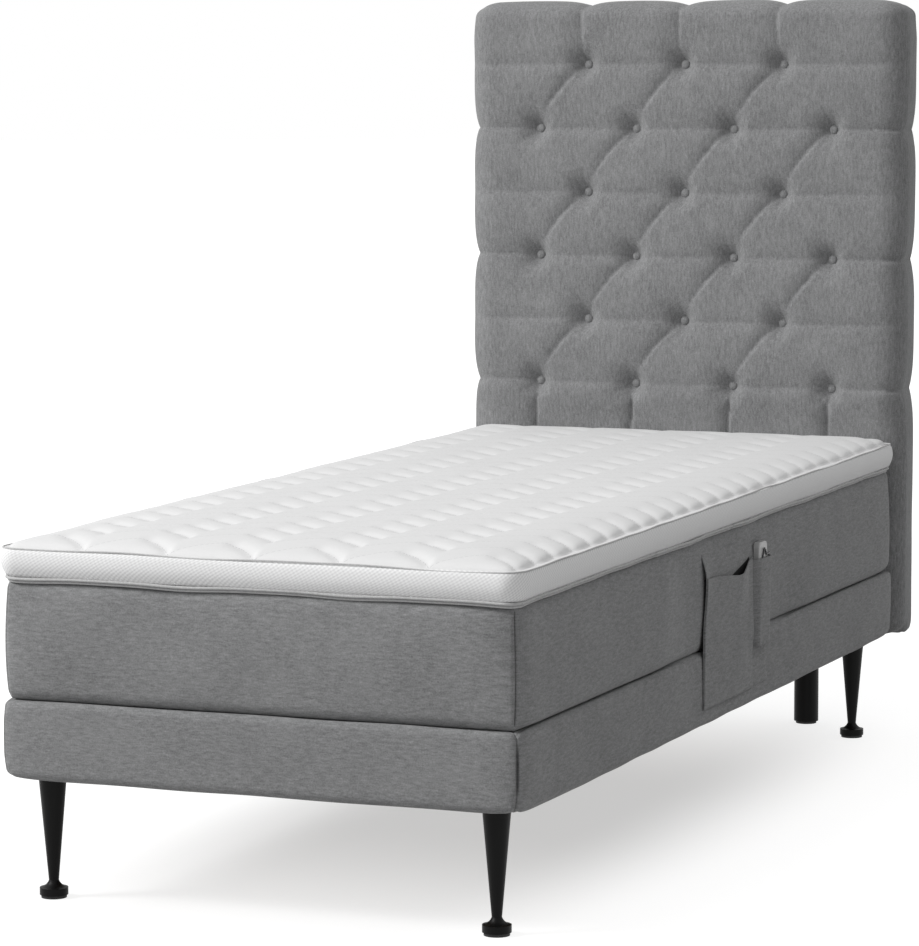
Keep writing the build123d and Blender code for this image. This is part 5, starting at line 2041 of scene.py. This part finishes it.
@dataclass
class Frame:
    """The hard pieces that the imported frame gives, which only need their finishes.

    Args:
        nodes: the frame's nodes.
    """

    nodes: dict[str, bpy.types.Object]

    def build(self) -> None:
        """Dresses each group of nodes."""
        self.hard("black_lacquer", 0.5, 0.003, 0.36, LEGS, gloss=0.12, dusty=0.0)
        self.hard("black_rubber", 0.8, 0.015, 0.6, ("leg_glides",), dusty=0.1)
        self.hard("painted_steel", 0.5, (0.16, 0.165, 0.17), 0.32, PAINTED, coat=0.1, dusty=0.3)
        self.hard("bright_steel", 0.38, (0.62, 0.63, 0.65), 0.18, BRIGHT, metal=1.0, dusty=0.05)
        self.hard("drive_housing", 0.55, (0.028, 0.029, 0.031), 0.38, HOUSINGS, grain=1500.0, dusty=0.25)
        self.hard("handset_shell", 0.45, 0.46, 0.3, ("handset_case",), grain=1600.0, dusty=0.0)
        self.hard("handset_keys", 0.6, (0.18, 0.18, 0.185), 0.45, KEYS, grain=1600.0, dusty=0.0)
        self.hard("handset_wire", 0.35, (0.05, 0.05, 0.052), 0.2, ("handset_hook",), metal=0.6, dusty=0.0)
        beech = Timber("plywood", early=(0.66, 0.5, 0.33), late=(0.5, 0.35, 0.21), plies=0.0015)
        self.paint(Timber("pine"), BOARDS)
        self.paint(beech, DECKS)
        self.paint(Chips("chipboard"), ("headboard_core",))

    def hard(
        self, name: str, rough: float, colour: float | Colour, smooth: float, nodes: tuple[str, ...],
        **more: float,
    ) -> None:
        """Dresses nodes in a hard finish.

        Args:
            name: the finish's name.
            rough: its roughness where it is dullest.
            colour: its colour, or one number for a grey.
            smooth: its roughness where it is cleanest.
            nodes: the nodes that get it.
            more: other fields of the finish.
        """
        full = colour if isinstance(colour, tuple) else (colour, colour, colour)
        self.paint(HardFinish(name, rough, colour=full, smooth=smooth, **more), nodes)

    def paint(self, finish: Finish, nodes: tuple[str, ...]) -> None:
        """Puts a finish on every material slot of some nodes."""
        for name in nodes:
            for place in self.nodes[name].material_slots:
                place.material = finish.material()


@dataclass
class Studio:
    """The camera, floor, backdrop and lights.

    Args:
        eye: the camera's place.
        turn: its direction in degrees from straight along the bed.
        dip: how far it looks down, in degrees.
        roll: how far it leans, in degrees.
        lens: its lens in millimetres on a 36 mm sensor.
        key_place: where the lamp stands.
        key_power: its power in watts.
        key_size: the length of its side.
        sky: strength of the world on the object.
        floor_glow: the painted glow that the camera sees on the floor under the bed, and how much more there
            is at the bed's edge and again further away.
    """

    eye: Triple = (2.66652, -6.85264, 1.39081)
    turn: float = 21.92
    dip: float = 6.04
    roll: float = 0.11
    lens: float = 153.62
    key_place: Triple = (-8.0, -5.6, 7.6)
    key_power: float = 1200.0
    key_size: float = 3.4
    sky: float = 0.485
    floor_glow: Triple = (0.54, 0.34, 0.12)

    def build(self) -> None:
        """Sets up the whole studio."""
        self.camera()
        self.floor()
        self.world()
        self.key_light()
        bpy.context.scene.view_settings.view_transform = "Standard"

    def camera(self) -> None:
        """The camera at its fitted place."""
        turn, dip = math.radians(self.turn), math.radians(self.dip)
        ahead = Vector((-math.sin(turn) * math.cos(dip), math.cos(turn) * math.cos(dip), -math.sin(dip)))
        data = bpy.data.cameras.new("camera")
        data.lens = self.lens
        data.sensor_width = 36.0
        data.sensor_fit = "AUTO"
        data.clip_end = 60.0
        made = into_scene("camera", data)
        made.rotation_mode = "QUATERNION"
        made.location = self.eye
        lean = Matrix.Rotation(math.radians(self.roll), 3, ahead).to_quaternion()
        made.rotation_quaternion = lean @ ahead.to_track_quat("-Z", "Y")
        bpy.context.scene.camera = made

    @staticmethod
    def seen_white(desk: NodeDesk) -> Socket:
        """1 for the rays that see the backdrop white: the camera's, glossy ones and transmitted ones."""
        rays = desk.add("ShaderNodeLightPath").outputs
        seen = desk.math("MAXIMUM", rays["Is Camera Ray"], rays["Is Glossy Ray"])
        return desk.math("MAXIMUM", seen, rays["Is Transmission Ray"])

    def floor(self) -> None:
        """A wide level floor. What the camera sees of it glows, a painted light that keeps shadows on it
        light, and has a darker base colour than other rays meet. The glow grows with the distance from the
        bed's middle line and reaches white beside the bed."""
        xs, ys = np.linspace(-40, 40, 3), np.linspace(-40, 60, 3)
        x, y = np.meshgrid(xs, ys, indexing="ij")
        surface = Surface.grid(np.stack([x, y, np.zeros_like(x)], axis=-1))
        made = bpy.data.materials.new("pale_floor")
        made.use_nodes = True
        desk = NodeDesk(made.node_tree)
        shader = made.node_tree.nodes["Principled BSDF"]
        shader.inputs["Roughness"].default_value = 0.9
        shader.inputs["Specular IOR Level"].default_value = 0.2
        seen = self.seen_white(desk)
        # Painted light: the camera sees a darker base colour than other rays, and an emission that lifts the
        # shadows near the bed.
        desk.put(shader.inputs["Base Color"], desk.mix(seen, (0.5, 0.5, 0.5), (0.22, 0.22, 0.22)))
        shader.inputs["Emission Color"].default_value = (1.0, 1.0, 1.0, 1.0)
        shares = desk.vector("MULTIPLY", desk.vector("ABSOLUTE", object_place(desk)), (1.0, 0.3, 0.0))
        beyond = desk.vector("MAXIMUM", desk.vector("SUBTRACT", shares, (0.20, 0.05, 0.0)), (0.0, 0.0, 0.0))
        away = desk.add("ShaderNodeVectorMath", {0: beyond}, operation="LENGTH").outputs["Value"]
        under, beside, further = self.floor_glow
        near = desk.ease(away, 0.02, 0.38, under, under + beside)
        glow = desk.math("ADD", near, desk.ease(away, 0.3, 0.9, 0.0, further))
        desk.put(shader.inputs["Emission Strength"], desk.math("MULTIPLY", seen, glow))
        make_piece("floor", surface, made)

    def world(self) -> None:
        """A soft even sky that shows white."""
        world = bpy.data.worlds.new("studio")
        world.use_nodes = True
        desk = NodeDesk(world.node_tree)
        back = world.node_tree.nodes["Background"]
        back.inputs["Color"].default_value = (1.0, 1.0, 1.0, 1.0)
        seen = self.seen_white(desk)
        desk.put(back.inputs["Strength"], desk.spread(seen, 0.0, 1.0, self.sky, 1.0))
        bpy.context.scene.world = world

    def key_light(self) -> None:
        """A square lamp that looks at the bed's middle."""
        data = bpy.data.lights.new("key_light", "AREA")
        data.energy = self.key_power
        data.size = self.key_size
        made = into_scene("key_light", data)
        made.location = self.key_place
        aim = Vector((0.0, 0.0, 0.5)) - Vector(self.key_place)
        made.rotation_euler = aim.to_track_quat("-Z", "Y").to_euler()


def main() -> None:
    """Loads the frame, builds every sub-assembly in order and reports each."""
    logging.basicConfig(level=logging.INFO, format="%(name)s: %(message)s")
    for item in list(bpy.data.objects):
        bpy.data.objects.remove(item)
    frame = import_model()
    grey = MelangeCloth("grey_melange")
    upright = MelangeCloth("grey_melange_upright", run=ThreadRun.UPRIGHT)
    button = MelangeCloth("button_cloth", run=ThreadRun.UPRIGHT, streaks=0.5)
    pocket = MelangeCloth("pocket_cloth", seam_shade=0.92)
    lining = PlainCloth("black_lining", colour=(0.03, 0.03, 0.032))
    piping = PlainCloth("grey_piping", colour=(0.48, 0.48, 0.48))
    quilt, bend = Quilt(), Bend()
    knit = QuiltedKnit("white_knit", quilt=quilt)
    sub_assemblies = [
        Studio(), BoxBase(grey), Mattress(grey, bend), Topper(knit, bend, piping, quilt),
        Headboard(upright, button, lining), SidePocket(pocket), Frame(frame["nodes"]),
    ]
    for item in sub_assemblies:
        item.build()
        log.info("%s is built", type(item).__name__)


if __name__ == "__main__":
    main()
